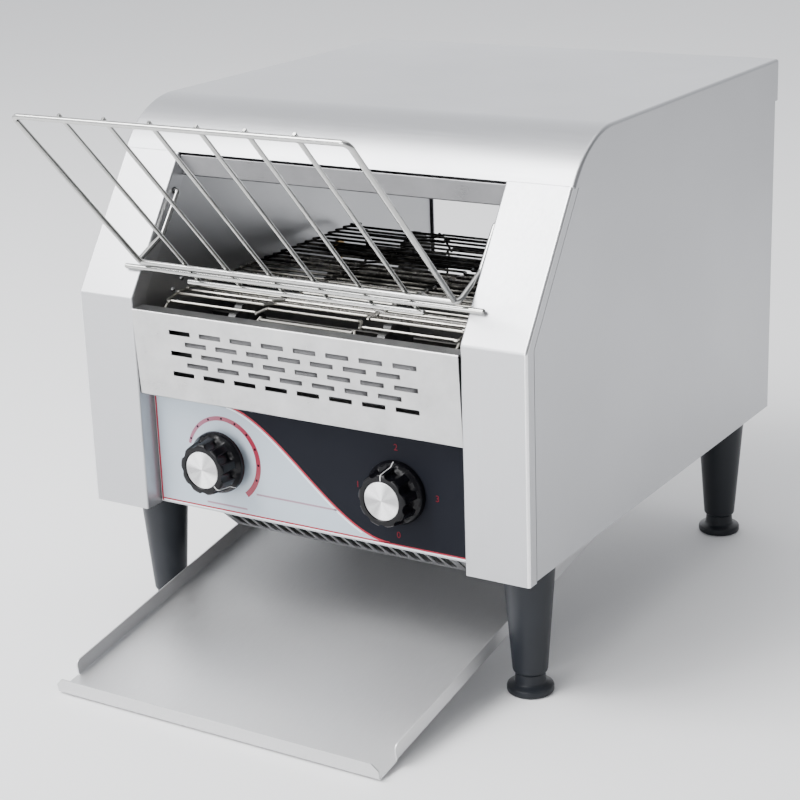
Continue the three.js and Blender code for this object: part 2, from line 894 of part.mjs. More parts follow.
// A point on the rack's underside, at a distance down from the wires' tips, as [y, z].
function rackPoint(down, under = 2.8) {
  const [dy, dz] = unit(RACK_TIP, RACK_FOOT);
  return [RACK_TIP[0] + down * dy + under * dz, RACK_TIP[1] + down * dz - under * dy];
}

function feedRack() {
  const outer = 128.7;
  const arm = 131.4;
  const top = rackPoint(1.4);
  const low = rackPoint(171);
  const rest = rackPoint(179.1);
  const toe = rackPoint(190.6);
  const knee = [36, 300.5];
  const legEnd = rackPoint(170);
  const pieces = [];
  for (const i of [-2.5, -1.5, -0.5, 0.5, 1.5, 2.5]) {
    const x = i * WIRE_PITCH;
    pieces.push(rod([[x, ...RACK_TIP], [x, ...RACK_FOOT]], RACK_WIRE, 0, 6));
  }
  pieces.push(
    rod([[-outer, ...legEnd], [-outer, ...top], [outer, ...top], [outer, ...legEnd]], RACK_ROD, 5),
    rod([[-147.3, ...rest], [147.3, ...rest]], RACK_ROD),
    rod([[-97.7, ...toe], [97.7, ...toe]], RACK_ROD),
  );
  const halfArm = (side) => [
    [side * (MOUTH_HALF + 3), PIVOT_Y, PIVOT_Z],
    [side * arm, PIVOT_Y, PIVOT_Z],
    [side * arm, ...knee],
    [side * arm, ...low],
  ];
  const arms = rod([...halfArm(-1), ...halfArm(1).reverse()], RACK_ROD, 2.4);
  return join(arms, ...pieces);
}

// ---------- building it ----------

for (const [side, word] of [[-1, "left"], [1, "right"]]) {
  addPiece(`${word}_front_column`, brushedSteel, frontColumn(side));
  addPiece(`${word}_side_panel`, brushedSteel, sidePanel(side));
  addPiece(`${word}_inner_wall`, innerSteel, innerWall(side));
  addPiece(`idler_bush_${word}`, bronze, shaftBush(side, IDLER_Y));
  addPiece(`drive_bush_${word}`, bronze, shaftBush(side, DRIVE_Y));
}
addPiece("top_cover", brushedSteel, topCover());
addPiece("front_header", innerSteel, frontHeader());
addPiece("rear_panel", brushedSteel, rearPanel());
addPiece("base_plate", innerSteel, basePlate());
addPiece("vent_panel", brushedSteel, ventPanel());
addPiece("control_panel", innerSteel, controlPanel());
addPiece("control_label", labelFilm, controlLabel());
addPiece("front_baffle", innerSteel, frontBaffle());
addPiece("heat_shield", innerSteel, heatShield());
addPiece("upper_reflector", innerSteel, upperReflector());
addPiece("lower_reflector", innerSteel, lowerReflector());
addPiece("lower_guard", innerSteel, lowerGuard());
addPiece("toast_chute", trayChute, toastChute());
addPiece("toast_tray", trayChute, toastTray());

UPPER_HEATERS.forEach((y, i) => {
  addPiece(`upper_heater_${i + 1}`, quartz, heaterTube(y, UPPER_HEATER_Z));
});
LOWER_HEATERS.forEach((y, i) => {
  addPiece(`lower_heater_${i + 1}`, quartz, heaterTube(y, LOWER_HEATER_Z));
});

addPiece("wire_belt", beltSteel, wireBelt());
addPiece("drive_shaft", darkSteel, beltShaft(DRIVE_Y, -142, 153));
addPiece("idler_shaft", darkSteel, beltShaft(IDLER_Y, -142, 142));
SPROCKET_X.forEach((x, i) => {
  addPiece(`drive_sprocket_${i + 1}`, darkSteel, beltSprocket(x, DRIVE_Y));
  addPiece(`idler_sprocket_${i + 1}`, darkSteel, beltSprocket(x, IDLER_Y));
});
addPiece("driven_chain_sprocket", darkSteel, drivenSprocket());
addPiece("motor_chain_sprocket", darkSteel, motorSprocket());
addPiece("drive_chain", darkSteel, driveChain());
addPiece("gear_motor", motorGrey, gearMotor());

addPiece("speed_control", phenolic, speedControl());
addPiece("selector_switch", phenolic, selectorSwitch());
addPiece("terminal_block", phenolic, terminalBlock());
addPiece("cable_gland", blackPlastic, cableGland());

for (const [word, x, back] of [
  ["speed", -KNOB_X, SPEED_KNOB_BACK],
  ["selector", KNOB_X, SELECTOR_KNOB_BACK],
]) {
  addPiece(`${word}_knob`, glossBlack, knob(x, back));
  addPiece(`${word}_knob_cap`, spunAluminium, knobCap(x, back));
  addPiece(`${word}_spindle`, darkSteel, spindle(x, back));
}

for (const [depth, y] of [["front", LEG_Y[0]], ["rear", LEG_Y[1]]]) {
  for (const [side, word] of [[-1, "left"], [1, "right"]]) {
    addPiece(`leg_${depth}_${word}`, blackPlastic, leg(side * LEG_X, y));
    addPiece(`foot_${depth}_${word}`, blackPlastic, foot(side * LEG_X, y));
  }
}

addPiece("feed_rack", chrome, feedRack());

// The origin goes to the middle of the assembly's depth: from the tray's lip to the gland.
const lipFront = TRAY_FRONT - TRAY_WALL * Math.sin(TRAY_SLOPE);
toaster.position.y = -(lipFront + GLAND_REAR) / 2;

export default toaster;
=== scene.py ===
"""The looks of a countertop conveyor toaster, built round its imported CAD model.

Shapes are worked out in millimetres, with y measured back from the front faces of the two
front columns, and become pieces in metres in the row frame.
"""

import json
import math

import bmesh
import bpy
from mathutils import Matrix, Vector
from mathutils.geometry import tessellate_polygon


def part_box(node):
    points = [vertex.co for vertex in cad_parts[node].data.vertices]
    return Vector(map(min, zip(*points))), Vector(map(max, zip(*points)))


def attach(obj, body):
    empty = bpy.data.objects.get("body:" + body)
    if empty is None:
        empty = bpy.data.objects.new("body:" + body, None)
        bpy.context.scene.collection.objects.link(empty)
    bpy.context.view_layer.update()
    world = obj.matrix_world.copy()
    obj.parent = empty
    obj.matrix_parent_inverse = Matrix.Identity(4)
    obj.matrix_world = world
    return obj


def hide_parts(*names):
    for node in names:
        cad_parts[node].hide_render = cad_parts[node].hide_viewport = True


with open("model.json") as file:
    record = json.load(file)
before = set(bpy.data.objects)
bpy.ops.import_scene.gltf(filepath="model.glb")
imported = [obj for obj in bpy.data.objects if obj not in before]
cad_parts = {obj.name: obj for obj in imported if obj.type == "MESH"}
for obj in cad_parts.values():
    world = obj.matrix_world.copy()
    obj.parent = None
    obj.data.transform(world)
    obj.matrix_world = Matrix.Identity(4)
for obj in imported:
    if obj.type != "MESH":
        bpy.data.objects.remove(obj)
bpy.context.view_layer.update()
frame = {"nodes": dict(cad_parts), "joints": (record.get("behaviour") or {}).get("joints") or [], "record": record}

# ---------- the frame ----------

MM = 0.001
RECORD = frame["record"]
BODY_OF = {node: body for body, nodes in RECORD["behaviour"]["bodies"].items() for node in nodes}
SLOT_OF = {part["node"]: part["material_slot"] for part in RECORD["subparts"]}
ORIGIN = Vector((0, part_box("left_front_column")[0].y, 0))


def span(node):
    """A node's lowest and highest corners."""
    low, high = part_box(node)
    return (low - ORIGIN) / MM, (high - ORIGIN) / MM


def middle(node):
    """The middle of a node's box."""
    low, high = span(node)
    return (low + high) / 2


def joint_at(name):
    """The point that a joint turns about."""
    found = next(j for j in frame["joints"] if j["name"] == name)
    return (Vector(found["pos_m"]) - ORIGIN) / MM


SHEET = 1.2  # body sheet
THIN = 1.0  # inner sheet
RETURN_INNER = 16.5  # a column's inner and outer return flanges
RETURN_OUTER = 10
PIVOT_HOLE = 2.6  # radius of the rack's holes in the inner returns
SEAM = 0.3  # how much a return's edge is dressed back, so that the seam shows
BEND_Z = 260.3  # where the front starts to slope back

COLUMN_LOW, COLUMN_HIGH = span("right_front_column")
MOUTH = COLUMN_LOW.x
HALF = COLUMN_HIGH.x
BOTTOM = COLUMN_LOW.z
SLOPE = (COLUMN_HIGH.y - RETURN_INNER) / (COLUMN_HIGH.z - BEND_Z)
LID_LOW, LID_HIGH = span("top_cover")
LID_ARC = 68
REAR = span("rear_panel")[1].y
DRIVE = joint_at("drive_shaft_spin")
IDLER = joint_at("idler_shaft_spin")
BELT_LOW, BELT_HIGH = span("wire_belt")
BELT_WIRE = 1.0  # wire radius
CAP = 13.8  # radius of a knob's metal cap
BELT_RADIUS = (BELT_HIGH.z - BELT_LOW.z) / 2 - 1.1


def front_y(z):
    """How far back the column's front face is at a height."""
    return max(0, (z - BEND_Z) * SLOPE)


# ---------- shapes ----------


class Shape:
    """Vertices in millimetres, with faces and each face's paint, before they become a piece."""

    def __init__(self, verts=(), faces=(), paint=0):
        self.verts = [Vector(v) for v in verts]
        self.faces = [tuple(f) for f in faces]
        self.paints = [paint] * len(self.faces)

    def add(self, other, paint=None):
        start = len(self.verts)
        self.verts += other.verts
        self.faces += [tuple(i + start for i in face) for face in other.faces]
        self.paints += other.paints if paint is None else [paint] * len(other.faces)
        return self

    def moved(self, matrix):
        made = Shape([matrix @ v for v in self.verts], self.faces)
        made.paints = list(self.paints)
        return made


def placed(axis, a, b, along):
    """A point from its distance along an axis and its two other coordinates."""
    return Vector({"x": (along, a, b), "y": (a, along, b), "z": (a, b, along)}[axis])


def joined(*shapes):
    whole = Shape()
    for shape in shapes:
        whole.add(shape)
    return whole


def mirrored(shape):
    return shape.moved(Matrix.Scale(-1, 4, (1, 0, 0)))


def arc(centre, radius, start, end, steps=12):
    """Points of an arc, with its angles in degrees from the first axis towards the second."""
    angles = [math.radians(start + (end - start) * i / steps) for i in range(steps + 1)]
    return [
        Vector((centre[0] + radius * math.cos(a), centre[1] + radius * math.sin(a)))
        for a in angles
    ]


def rounded(points, radius, steps=5, closed=False):
    """The points, with an arc at each inner corner."""
    points = [Vector(p) for p in points]
    count = len(points)
    found = [] if closed else [points[0]]
    for i in range(0 if closed else 1, count if closed else count - 1):
        corner = points[i]
        into = corner - points[i - 1]
        out = points[(i + 1) % count] - corner
        turn = into.angle(out)
        if turn < 0.01:
            found.append(corner)
            continue
        reach = min(radius * math.tan(turn / 2), 0.49 * into.length, 0.49 * out.length)
        fitted = reach / math.tan(turn / 2)
        middle = out.normalized() - into.normalized()
        centre = corner + middle.normalized() * (fitted / math.cos(turn / 2))
        start = corner - into.normalized() * reach - centre
        end = corner + out.normalized() * reach - centre
        found += [centre + start.slerp(end, k / steps) * fitted for k in range(steps + 1)]
    return found if closed else [*found, points[-1]]


def normals_of(path):
    """The unit normal to the left of a flat path at each of its points, scaled at corners."""
    found = []
    for i, point in enumerate(path):
        into = (point - path[i - 1]).normalized() if i else (path[1] - point).normalized()
        out = (path[i + 1] - point).normalized() if i + 1 < len(path) else into
        both = into + out
        found.append(Vector((-both.y, both.x)) * (2 / both.length_squared))
    return found


def thickened(path, thickness):
    """A closed outline along a path, with its thickness to the left."""
    path = [Vector(p) for p in path]
    other = [p + n * thickness for p, n in zip(path, normals_of(path))]
    return [*path, *reversed(other)]


def skin(rings, closed=False):
    """A closed skin over rings of equally many points."""
    count, total = len(rings[0]), len(rings)
    faces = []
    for i in range(total if closed else total - 1):
        a, b = i * count, (i + 1) % total * count
        faces += [(a + j, a + (j + 1) % count, b + (j + 1) % count, b + j) for j in range(count)]
    if not closed:
        faces += [tuple(range(count)), tuple(range((total - 1) * count, total * count))]
    return Shape([v for ring in rings for v in ring], faces)


def tube(path, radius, sides=12):
    """A round wire along a path, with slightly rounded ends."""
    path = [Vector(p) for p in path]
    inset = 0.35 * radius
    first = path[0] + (path[1] - path[0]).normalized() * inset
    last = path[-1] + (path[-2] - path[-1]).normalized() * inset
    path = [path[0], first, *path[1:-1], last, path[-1]]
    rings = []
    heading = (path[1] - path[0]).normalized()
    across = heading.orthogonal().normalized()
    for i, point in enumerate(path):
        into = (point - path[i - 1]).normalized() if i else heading
        out = (path[i + 1] - point).normalized() if i + 1 < len(path) else into
        tangent = (into + out).normalized()
        across.rotate(heading.rotation_difference(tangent))
        heading = tangent
        other = heading.cross(across)
        wide = radius * (0.72 if i in (0, len(path) - 1) else 1)
        angles = [2 * math.pi * j / sides for j in range(sides)]
        rings.append([point + wide * (math.cos(a) * across + math.sin(a) * other) for a in angles])
    return skin(rings)


def lathe(profile, centre, axis="z", steps=48, closed=False, radius_at=None):
    """A turned shape. The profile holds [radius, distance along the axis]; centre is a point
    on the axis. radius_at changes a radius by its angle, as flutes do."""
    centre = Vector(centre)
    rings = []
    for radius, along in profile:
        ring = []
        for j in range(steps):
            angle = 2 * math.pi * j / steps
            r = radius_at(radius, along, angle) if radius_at else radius
            ring.append(centre + placed(axis, r * math.cos(angle), r * math.sin(angle), along))
        rings.append(ring)
    return skin(rings, closed)


def walls(loops, start, offset):
    """Faces between loops of points and their copies, which are an offset further on."""
    faces = []
    for loop in loops:
        size = len(loop)
        for i in range(size):
            a, b = start + i, start + (i + 1) % size
            faces.append((a, b, b + offset, a + offset))
        start += size
    return faces


def rectangle(x, y, half_x, half_y):
    return [
        (x - half_x, y - half_y),
        (x + half_x, y - half_y),
        (x + half_x, y + half_y),
        (x - half_x, y + half_y),
    ]


def prism(outline, low, high, axis, holes=()):
    """A flat plate: outlines of the two coordinates other than axis, from low to high."""
    loops = [[Vector((*p, 0)) for p in loop] for loop in (outline, *holes)]
    flat = [p for loop in loops for p in loop]
    count = len(flat)
    shape = Shape([placed(axis, p.x, p.y, along) for along in (low, high) for p in flat])
    if holes:
        caps = [tuple(t) for t in tessellate_polygon(loops)]
    else:
        caps = [tuple(range(count))]
    shape.faces = caps + [tuple(i + count for i in face) for face in caps]
    shape.faces += walls(loops, 0, count)
    shape.paints = [0] * len(shape.faces)
    return shape


def folded(path, half, thickness=THIN, bend=1.2, holes=None, flat=1):
    """A folded sheet, as wide as twice half. The path holds [y, z] or [y, z, half] points on
    its outer side; the thickness goes to the left. Holes are outlines of [x, distance from
    the start of the given flat]."""
    corners = [Vector(p[:2]) for p in path]
    halves = [p[2] if len(p) > 2 else half for p in path]
    rows, owners = [corners[0]], [0]
    for i in range(1, len(corners) - 1):
        bent = rounded(corners[i - 1 : i + 2], bend)[1:-1]
        rows += bent
        owners += [i] * len(bent)
    rows.append(corners[-1])
    owners.append(len(corners) - 1)
    inner = [p + n * thickness for p, n in zip(rows, normals_of(rows))]
    shape = Shape()
    for p, q, owner in zip(rows, inner, owners):
        x = halves[owner]
        shape.verts += [Vector(v) for v in ((-x, *p), (x, *p), (x, *q), (-x, *q))]
    holed = max(i for i, owner in enumerate(owners) if owner == flat) if holes else -1
    for i in range(len(rows) - 1):
        a, b = 4 * i, 4 * i + 4
        for j in range(4):
            if i != holed or j % 2:
                k = (j + 1) % 4
                shape.faces.append((a + j, a + k, b + k, b + j))
    shape.faces += [(0, 1, 2, 3), tuple(4 * len(rows) - 4 + j for j in range(4))]
    if holes:
        punch(shape, 4 * holed, corners[flat], rows[holed], rows[holed + 1], thickness, holes)
    shape.paints = [0] * len(shape.faces)
    return shape


def punch(shape, at, corner, start, end, thickness, holes):
    """Fills a flat of a folded sheet, with holes through it."""
    along = (end - start).normalized()
    normal = Vector((-along.y, along.x))
    begun = (start - corner).length
    reach = (end - corner).length
    x = shape.verts[at + 1].x
    rim = [(-x, begun), (x, begun), (x, reach), (-x, reach)]
    loops = [[Vector((*p, 0)) for p in loop] for loop in (rim, *holes)]
    sides = []
    for side, used in ((0, (0, 1, 5, 4)), (thickness, (3, 2, 6, 7))):
        base = len(shape.verts)
        for loop in loops[1:]:
            for p in loop:
                at_flat = corner + along * p.y + normal * side
                shape.verts.append(Vector((p.x, *at_flat)))
        index = [at + u for u in used] + list(range(base, len(shape.verts)))
        shape.faces += [tuple(index[i] for i in t) for t in tessellate_polygon(loops)]
        sides.append(base)
    shape.faces += walls(loops[1:], sides[0], sides[1] - sides[0])


def slot_outline(x, y, half_x, half_y, corner):
    """A rounded rectangle."""
    return rounded(rectangle(x, y, half_x, half_y), corner, 3, closed=True)


def circle(x, y, radius, steps=24):
    return arc((x, y), radius, 0, 360, steps)[:-1]


def piece(name, shape, *nodes, looks=None, slot=None, body=None, crease=32):
    """Makes an object of a shape, in place of some CAD nodes, on the body of the first."""
    mesh = bpy.data.meshes.new(name)
    mesh.from_pydata([v * MM + ORIGIN for v in shape.verts], [], shape.faces)
    mesh.polygons.foreach_set("material_index", shape.paints)
    edit = bmesh.new()
    edit.from_mesh(mesh)
    bmesh.ops.recalc_face_normals(edit, faces=edit.faces)
    edit.to_mesh(mesh)
    edit.free()
    mesh.shade_smooth()
    mesh.set_sharp_from_angle(angle=math.radians(crease))
    made = bpy.data.objects.new(name, mesh)
    bpy.context.scene.collection.objects.link(made)
    slot = slot or SLOT_OF[nodes[0]]
    for look in looks or [LOOKS[slot]]:
        mesh.materials.append(look)
    weighted = made.modifiers.new("weighted", "WEIGHTED_NORMAL")
    weighted.keep_sharp = True
    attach(made, body or BODY_OF[nodes[0]])
    if nodes:
        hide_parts(*nodes)
    return made


# ---------- materials ----------


class Look:
    """A material with a Principled shader, and short calls for its nodes."""

    def __init__(self, name, color, roughness, metallic=0.0, **sockets):
        self.material = bpy.data.materials.new(name)
        self.material.use_nodes = True
        self.tree = self.material.node_tree
        self.shader = self.tree.nodes["Principled BSDF"]
        self.shader.inputs["Base Color"].default_value = (*color, 1)
        self.shader.inputs["Roughness"].default_value = roughness
        self.shader.inputs["Metallic"].default_value = metallic
        for socket, value in sockets.items():
            self.shader.inputs[socket.replace("_", " ")].default_value = value
        self.place = self.tree.nodes.new("ShaderNodeTexCoord").outputs["Object"]

    def node(self, kind, inputs=None, **settings):
        made = self.tree.nodes.new("ShaderNode" + kind)
        for key, value in settings.items():
            setattr(made, key, value)
        for key, value in (inputs or {}).items():
            self.join(value, made.inputs[key])
        return made

    def join(self, value, socket):
        if isinstance(value, bpy.types.NodeSocket):
            self.tree.links.new(value, socket)
        else:
            socket.default_value = value

    def set(self, socket, value):
        self.join(value, self.shader.inputs[socket])

    def noise(self, scale, detail=3.0, rough=0.55, stretch=(1, 1, 1)):
        """A noise in the row frame, with its size per metre stretched by axis."""
        placed = self.node("Mapping", {"Vector": self.place, "Scale": stretch}).outputs["Vector"]
        inputs = {"Vector": placed, "Scale": scale, "Detail": detail, "Roughness": rough}
        return self.node("TexNoise", inputs).outputs["Fac"]

    def ranged(self, value, low, high, at=(0.3, 0.7)):
        inputs = {"Value": value, "From Min": at[0], "From Max": at[1], "To Min": low, "To Max": high}
        return self.node("MapRange", inputs).outputs["Result"]

    def math(self, kind, a, b=0.0):
        return self.node("Math", {0: a, 1: b}, operation=kind).outputs["Value"]

    def mixed(self, factor, a, b):
        made = self.node("Mix", data_type="RGBA")
        self.join(factor, made.inputs["Factor"])
        for name, color in (("A", a), ("B", b)):
            socket = next(s for s in made.inputs if s.name == name and s.type == "RGBA")
            self.join(color if isinstance(color, bpy.types.NodeSocket) else (*color, 1), socket)
        return next(s for s in made.outputs if s.type == "RGBA")

    def tint(self, value, color, dark, light=1.0, at=(0.3, 0.7)):
        """Moves the base colour between a darker and a lighter shade by a value."""
        shades = scaled(color, dark), scaled(color, light)
        self.set("Base Color", self.mixed(self.ranged(value, 0, 1, at), *shades))

    def bump(self, height, depth, strength=1.0, under=None):
        """Adds a height of that depth in metres to the surface."""
        inputs = {"Height": height, "Distance": depth, "Strength": strength}
        if under:
            inputs["Normal"] = under
        return self.node("Bump", inputs).outputs["Normal"]


def scaled(color, factor):
    return tuple(c * factor for c in color)


def brushed(name, color, roughness, grain="x", coarse=0.5, wave=0.00012):
    """Satin steel with its grain along one axis, and the slight waves of thin sheet."""
    look = Look(name, color, roughness, 1.0)
    stretch = {"x": (0.03, 1, 1), "y": (1, 0.03, 1), "z": (1, 1, 0.03)}[grain]
    fine = look.noise(2600, 2, 0.6, stretch)
    wide = look.noise(520, 3, 0.6, stretch)
    cloud = look.noise(9, 3, 0.5)
    tone = look.math("ADD", look.math("MULTIPLY", fine, 0.5), look.math("MULTIPLY", wide, 0.5))
    shade = look.ranged(tone, 0.0, 1.0, (0.25, 0.75))
    light = look.mixed(shade, scaled(color, 1 - 0.09 * coarse), scaled(color, 1 + 0.07 * coarse))
    look.set("Base Color", look.mixed(look.ranged(cloud, 0, 0.5), light, scaled(color, 0.95)))
    rough = look.ranged(tone, roughness - 0.05, roughness + 0.07, (0.25, 0.75))
    look.set("Roughness", look.math("ADD", rough, look.ranged(cloud, -0.02, 0.03)))
    waves = look.bump(look.noise(7, 1, 0.4), wave)
    look.set("Normal", look.bump(tone, 0.00001, coarse, waves))
    return look.material


def mill(name, color):
    """Unbrushed cold-rolled sheet: cloudy, with faint rolling lines."""
    look = Look(name, color, 0.3, 1.0)
    cloud = look.noise(38, 4, 0.65)
    lines = look.noise(900, 2, 0.6, (0.02, 1, 1))
    look.tint(cloud, color, 0.84, 1.07)
    mixed = look.math("ADD", look.math("MULTIPLY", cloud, 0.6), look.math("MULTIPLY", lines, 0.4))
    look.set("Roughness", look.ranged(mixed, 0.24, 0.42))
    waves = look.bump(look.noise(14, 2, 0.5), 0.0004)
    look.set("Normal", look.bump(cloud, 0.00004, 1.0, waves))
    return look.material


def plated(name, color, roughness):
    """Bright plated wire, with faint drawing lines and dull spots."""
    look = Look(name, color, roughness, 1.0)
    spots = look.noise(300, 3, 0.6)
    look.tint(spots, color, 0.9)
    look.set("Roughness", look.ranged(spots, roughness - 0.05, roughness + 0.1))
    look.set("Normal", look.bump(look.noise(1200, 2), 0.00001, 0.5))
    return look.material


def heated_wire(name, bright, dark):
    """Steel wire whose colour turns a mottled brown-black towards the rear: painted shade inside the body."""
    look = Look(name, bright, 0.35, 1.0)
    depth = look.node("SeparateXYZ", {"Vector": look.place}).outputs["Y"]
    spots = look.noise(60, 4, 0.65)
    low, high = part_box("wire_belt")
    # painted shade: the colour darkens from the front of the belt to its rear, with a mottled edge
    rear_shade = look.ranged(depth, 0.0, 1.0, (low.y + 0.02, high.y - 0.15))
    amount = look.math("ADD", rear_shade, look.ranged(spots, -0.25, 0.2))
    kept = look.node("Clamp", {"Value": amount}).outputs["Result"]
    brown = look.mixed(look.ranged(spots, 0, 1), dark, scaled(dark, 1.9))
    look.set("Base Color", look.mixed(kept, bright, brown))
    look.set("Roughness", look.ranged(kept, 0.3, 0.55, (0, 1)))
    look.set("Normal", look.bump(look.noise(1500, 2), 0.00002, 0.6))
    return look.material


def oiled(name, color, roughness=0.42):
    """Bare metal with a thin, uneven film of oil."""
    look = Look(name, color, roughness, 1.0)
    spots = look.noise(120, 4, 0.6)
    look.tint(spots, color, 0.75, 1.3)
    look.set("Roughness", look.ranged(spots, roughness - 0.1, roughness + 0.12))
    look.set("Normal", look.bump(look.noise(700, 3), 0.00003, 0.6))
    return look.material


def moulded(name, color, roughness, grain=0.00003, scale=1500, shine=0.5):
    """Moulded plastic with a fine surface texture."""
    look = Look(name, color, roughness, Specular_IOR_Level=shine)
    fine = look.noise(scale, 3, 0.6)
    cloud = look.noise(30, 3, 0.5)
    look.tint(cloud, color, 0.9, 1.15)
    look.set("Roughness", look.ranged(cloud, roughness - 0.04, roughness + 0.05))
    look.set("Normal", look.bump(fine, grain, 0.5))
    return look.material


def spun(name, color, centre):
    """Turned aluminium with rings round a point, and bright sectors painted into its colour as a painted
    reflection.
    """
    look = Look(name, color, 0.24, 0.75)
    moved = look.node("VectorMath", {0: look.place, 1: centre}, operation="SUBTRACT")
    moved = moved.outputs["Vector"]
    parts = look.node("SeparateXYZ", {"Vector": moved})
    angle = look.math("ARCTAN2", parts.outputs["X"], parts.outputs["Z"])
    radius = look.node("VectorMath", {0: moved}, operation="LENGTH").outputs["Value"]

    def wave(count, shift):
        return look.math("COSINE", look.math("ADD", look.math("MULTIPLY", angle, count), shift))

    rings = look.node("TexNoise", {"W": look.math("MULTIPLY", radius, 4000.0)}, noise_dimensions="1D")
    # painted reflection: bright and dark sectors round the cap's centre
    painted_reflection_sectors = look.math("ADD", wave(2.0, 0.9), look.math("MULTIPLY", wave(6.0, 0.4), 0.45))
    tone = look.math("ADD", painted_reflection_sectors, look.math("MULTIPLY", rings.outputs["Fac"], 0.5))
    look.tint(tone, color, 0.42, at=(-0.7, 1.2))
    look.set("Roughness", look.ranged(rings.outputs["Fac"], 0.18, 0.34))
    look.set("Normal", look.bump(rings.outputs["Fac"], 0.00002, 0.7))
    return look.material


def film(name, color, roughness=0.32, shine=0.3):
    """A printed plastic overlay with a very fine texture."""
    look = Look(name, color, roughness, Specular_IOR_Level=shine)
    fine = look.noise(2200, 2, 0.6)
    faint = look.noise(25, 2, 0.5)
    look.tint(faint, color, 0.96, 1.03)
    look.set("Roughness", look.ranged(fine, roughness - 0.04, roughness + 0.06))
    look.set("Normal", look.bump(fine, 0.00001, 0.5))
    return look.material


def faded(name, pale, full, around):
    """Ink that grows stronger from the left of a span to its right."""
    look = Look(name, full, 0.32)
    across = look.node("SeparateXYZ", {"Vector": look.place}).outputs["X"]
    ends = [corner.x * MM for corner in around]
    fine = look.noise(2200, 2, 0.6)
    look.set("Base Color", look.mixed(look.ranged(across, 0, 1, ends), pale, full))
    look.set("Roughness", look.ranged(fine, 0.28, 0.38))
    return look.material


def quartz(name):
    """Milky quartz tube."""
    look = Look(name, (0.9, 0.88, 0.84), 0.25, 0.0, Transmission_Weight=0.7, IOR=1.45)
    cloud = look.noise(150, 3, 0.6)
    look.set("Base Color", look.mixed(look.ranged(cloud, 0, 1), (0.84, 0.8, 0.74), (0.95, 0.94, 0.92)))
    look.set("Roughness", look.ranged(cloud, 0.18, 0.4))
    return look.material


STEEL = (0.52, 0.525, 0.54)
LOOKS = {
    "body_steel": brushed("body_steel", STEEL, 0.36, "x", 0.5),
    "vent_steel": mill("vent_steel", (0.55, 0.55, 0.55)),
    "inner_steel": brushed("inner_steel", (0.46, 0.465, 0.475), 0.34, "y", 0.6, 0.0003),
    "base_steel": brushed("base_steel", (0.3, 0.305, 0.31), 0.4, "y", 0.6),
    "tray_steel": brushed("tray_steel", (0.66, 0.66, 0.665), 0.46, "y", 0.8, 0.0002),
    "chrome_wire": plated("chrome_wire", (0.5, 0.5, 0.485), 0.09),
    "belt_wire": heated_wire("belt_wire", (0.5, 0.485, 0.44), (0.008, 0.0075, 0.007)),
    "drive_steel": oiled("drive_steel", (0.09, 0.09, 0.09)),
    "bush_bronze": oiled("bush_bronze", (0.42, 0.28, 0.13)),
    "motor_case": oiled("motor_case", (0.38, 0.39, 0.41)),
    "heater_quartz": quartz("heater_quartz"),
    "phenolic": moulded("phenolic", (0.08, 0.045, 0.03), 0.5),
    "leg_plastic": moulded("leg_plastic", (0.011, 0.013, 0.017), 0.4, shine=0.3),
    "knob_plastic": moulded("knob_plastic", (0.003, 0.003, 0.004), 0.2, 0.00001, shine=0.2),
    "label_film": film("label_film", (0.4, 0.46, 0.52), 0.4),
}
# near-black steel for the heat shield and the lower reflector: painted shade under the belt
UNDER_BELT_SHADE = oiled("under_belt_painted_shade", (0.07, 0.068, 0.066), 0.5)
# a dark steel for the header and the baffle: painted shade inside the mouth
HEADER_SHADE_STEEL = mill("header_painted_shade", (0.2, 0.2, 0.205))
UPRIGHT_STEEL = brushed("upright_steel", STEEL, 0.36, "z", 0.5)
# a brighter, glossier steel for the columns' outer bends: a painted highlight along each corner
CORNER_HIGHLIGHT_STEEL = brushed("corner_painted_highlight", (0.9, 0.9, 0.91), 0.24, "z", 0.3)
# near-black for each column return's cut edge: painted shade of the seam beside the side panel
SEAM_SHADE = oiled("seam_painted_shade", (0.05, 0.05, 0.05), 0.5)
CHARCOAL = film("label_charcoal", (0.009, 0.01, 0.014), 0.45, 0.05)
RED = film("label_red", (0.29, 0.008, 0.024))
SCALE_RED = faded("label_scale_red", (0.27, 0.09, 0.145), (0.23, 0.014, 0.036), span("speed_knob"))
DIGIT_RED = film("label_digit_red", (0.12, 0.004, 0.012), 0.45, 0.1)
FAINT = film("label_faint_red", (0.3, 0.2, 0.25))
PALE = film("label_pale", (0.75, 0.78, 0.82))
WHITE = film("label_white", (0.6, 0.6, 0.6))
SCREW_STEEL = plated("screw_steel", (0.6, 0.6, 0.6), 0.25)
INKS = [LOOKS["label_film"], CHARCOAL, RED, PALE, SCALE_RED, FAINT, DIGIT_RED]

# ---------- sheet metal ----------


def front_line(low, high, bend=4):
    return rounded([(0, low), (0, BEND_Z), (front_y(high), high)], bend, 6)


def column():
    """The right-hand front column: one sheet with a return along each side."""
    flange_start, bend = 3, 1.8
    section = [(MOUTH, flange_start), (MOUTH, 0), (HALF, 0), (HALF, RETURN_OUTER - SEAM)]
    steps = 5
    outline = thickened(rounded(section, bend, steps), SHEET)
    path = front_line(BOTTOM, COLUMN_HIGH.z)
    shape = skin([[Vector((x, y + back, z)) for x, back in outline] for y, z in path])
    count = len(outline)
    # the faces of the outer bend take a painted highlight
    outer_bend = range(steps + 2, 2 * steps + 2)
    # the return's cut edge takes painted seam shade
    outer_edge = count // 2 - 1
    for i in range(len(shape.faces) - 2):
        place = i % count
        shape.paints[i] = 1 if place in outer_bend else 2 if place == outer_edge else 0
    # the rest of the inner return, with the hole that the feed rack turns in
    flange = [(y + flange_start, z) for y, z in path]
    flange += [(y + RETURN_INNER, z) for y, z in reversed(path)]
    pivot = joint_at("feed_rack_hinge")
    hole = circle(pivot.y, pivot.z, PIVOT_HOLE)
    return shape.add(prism(flange, MOUTH, MOUTH + SHEET, "x", [hole]))


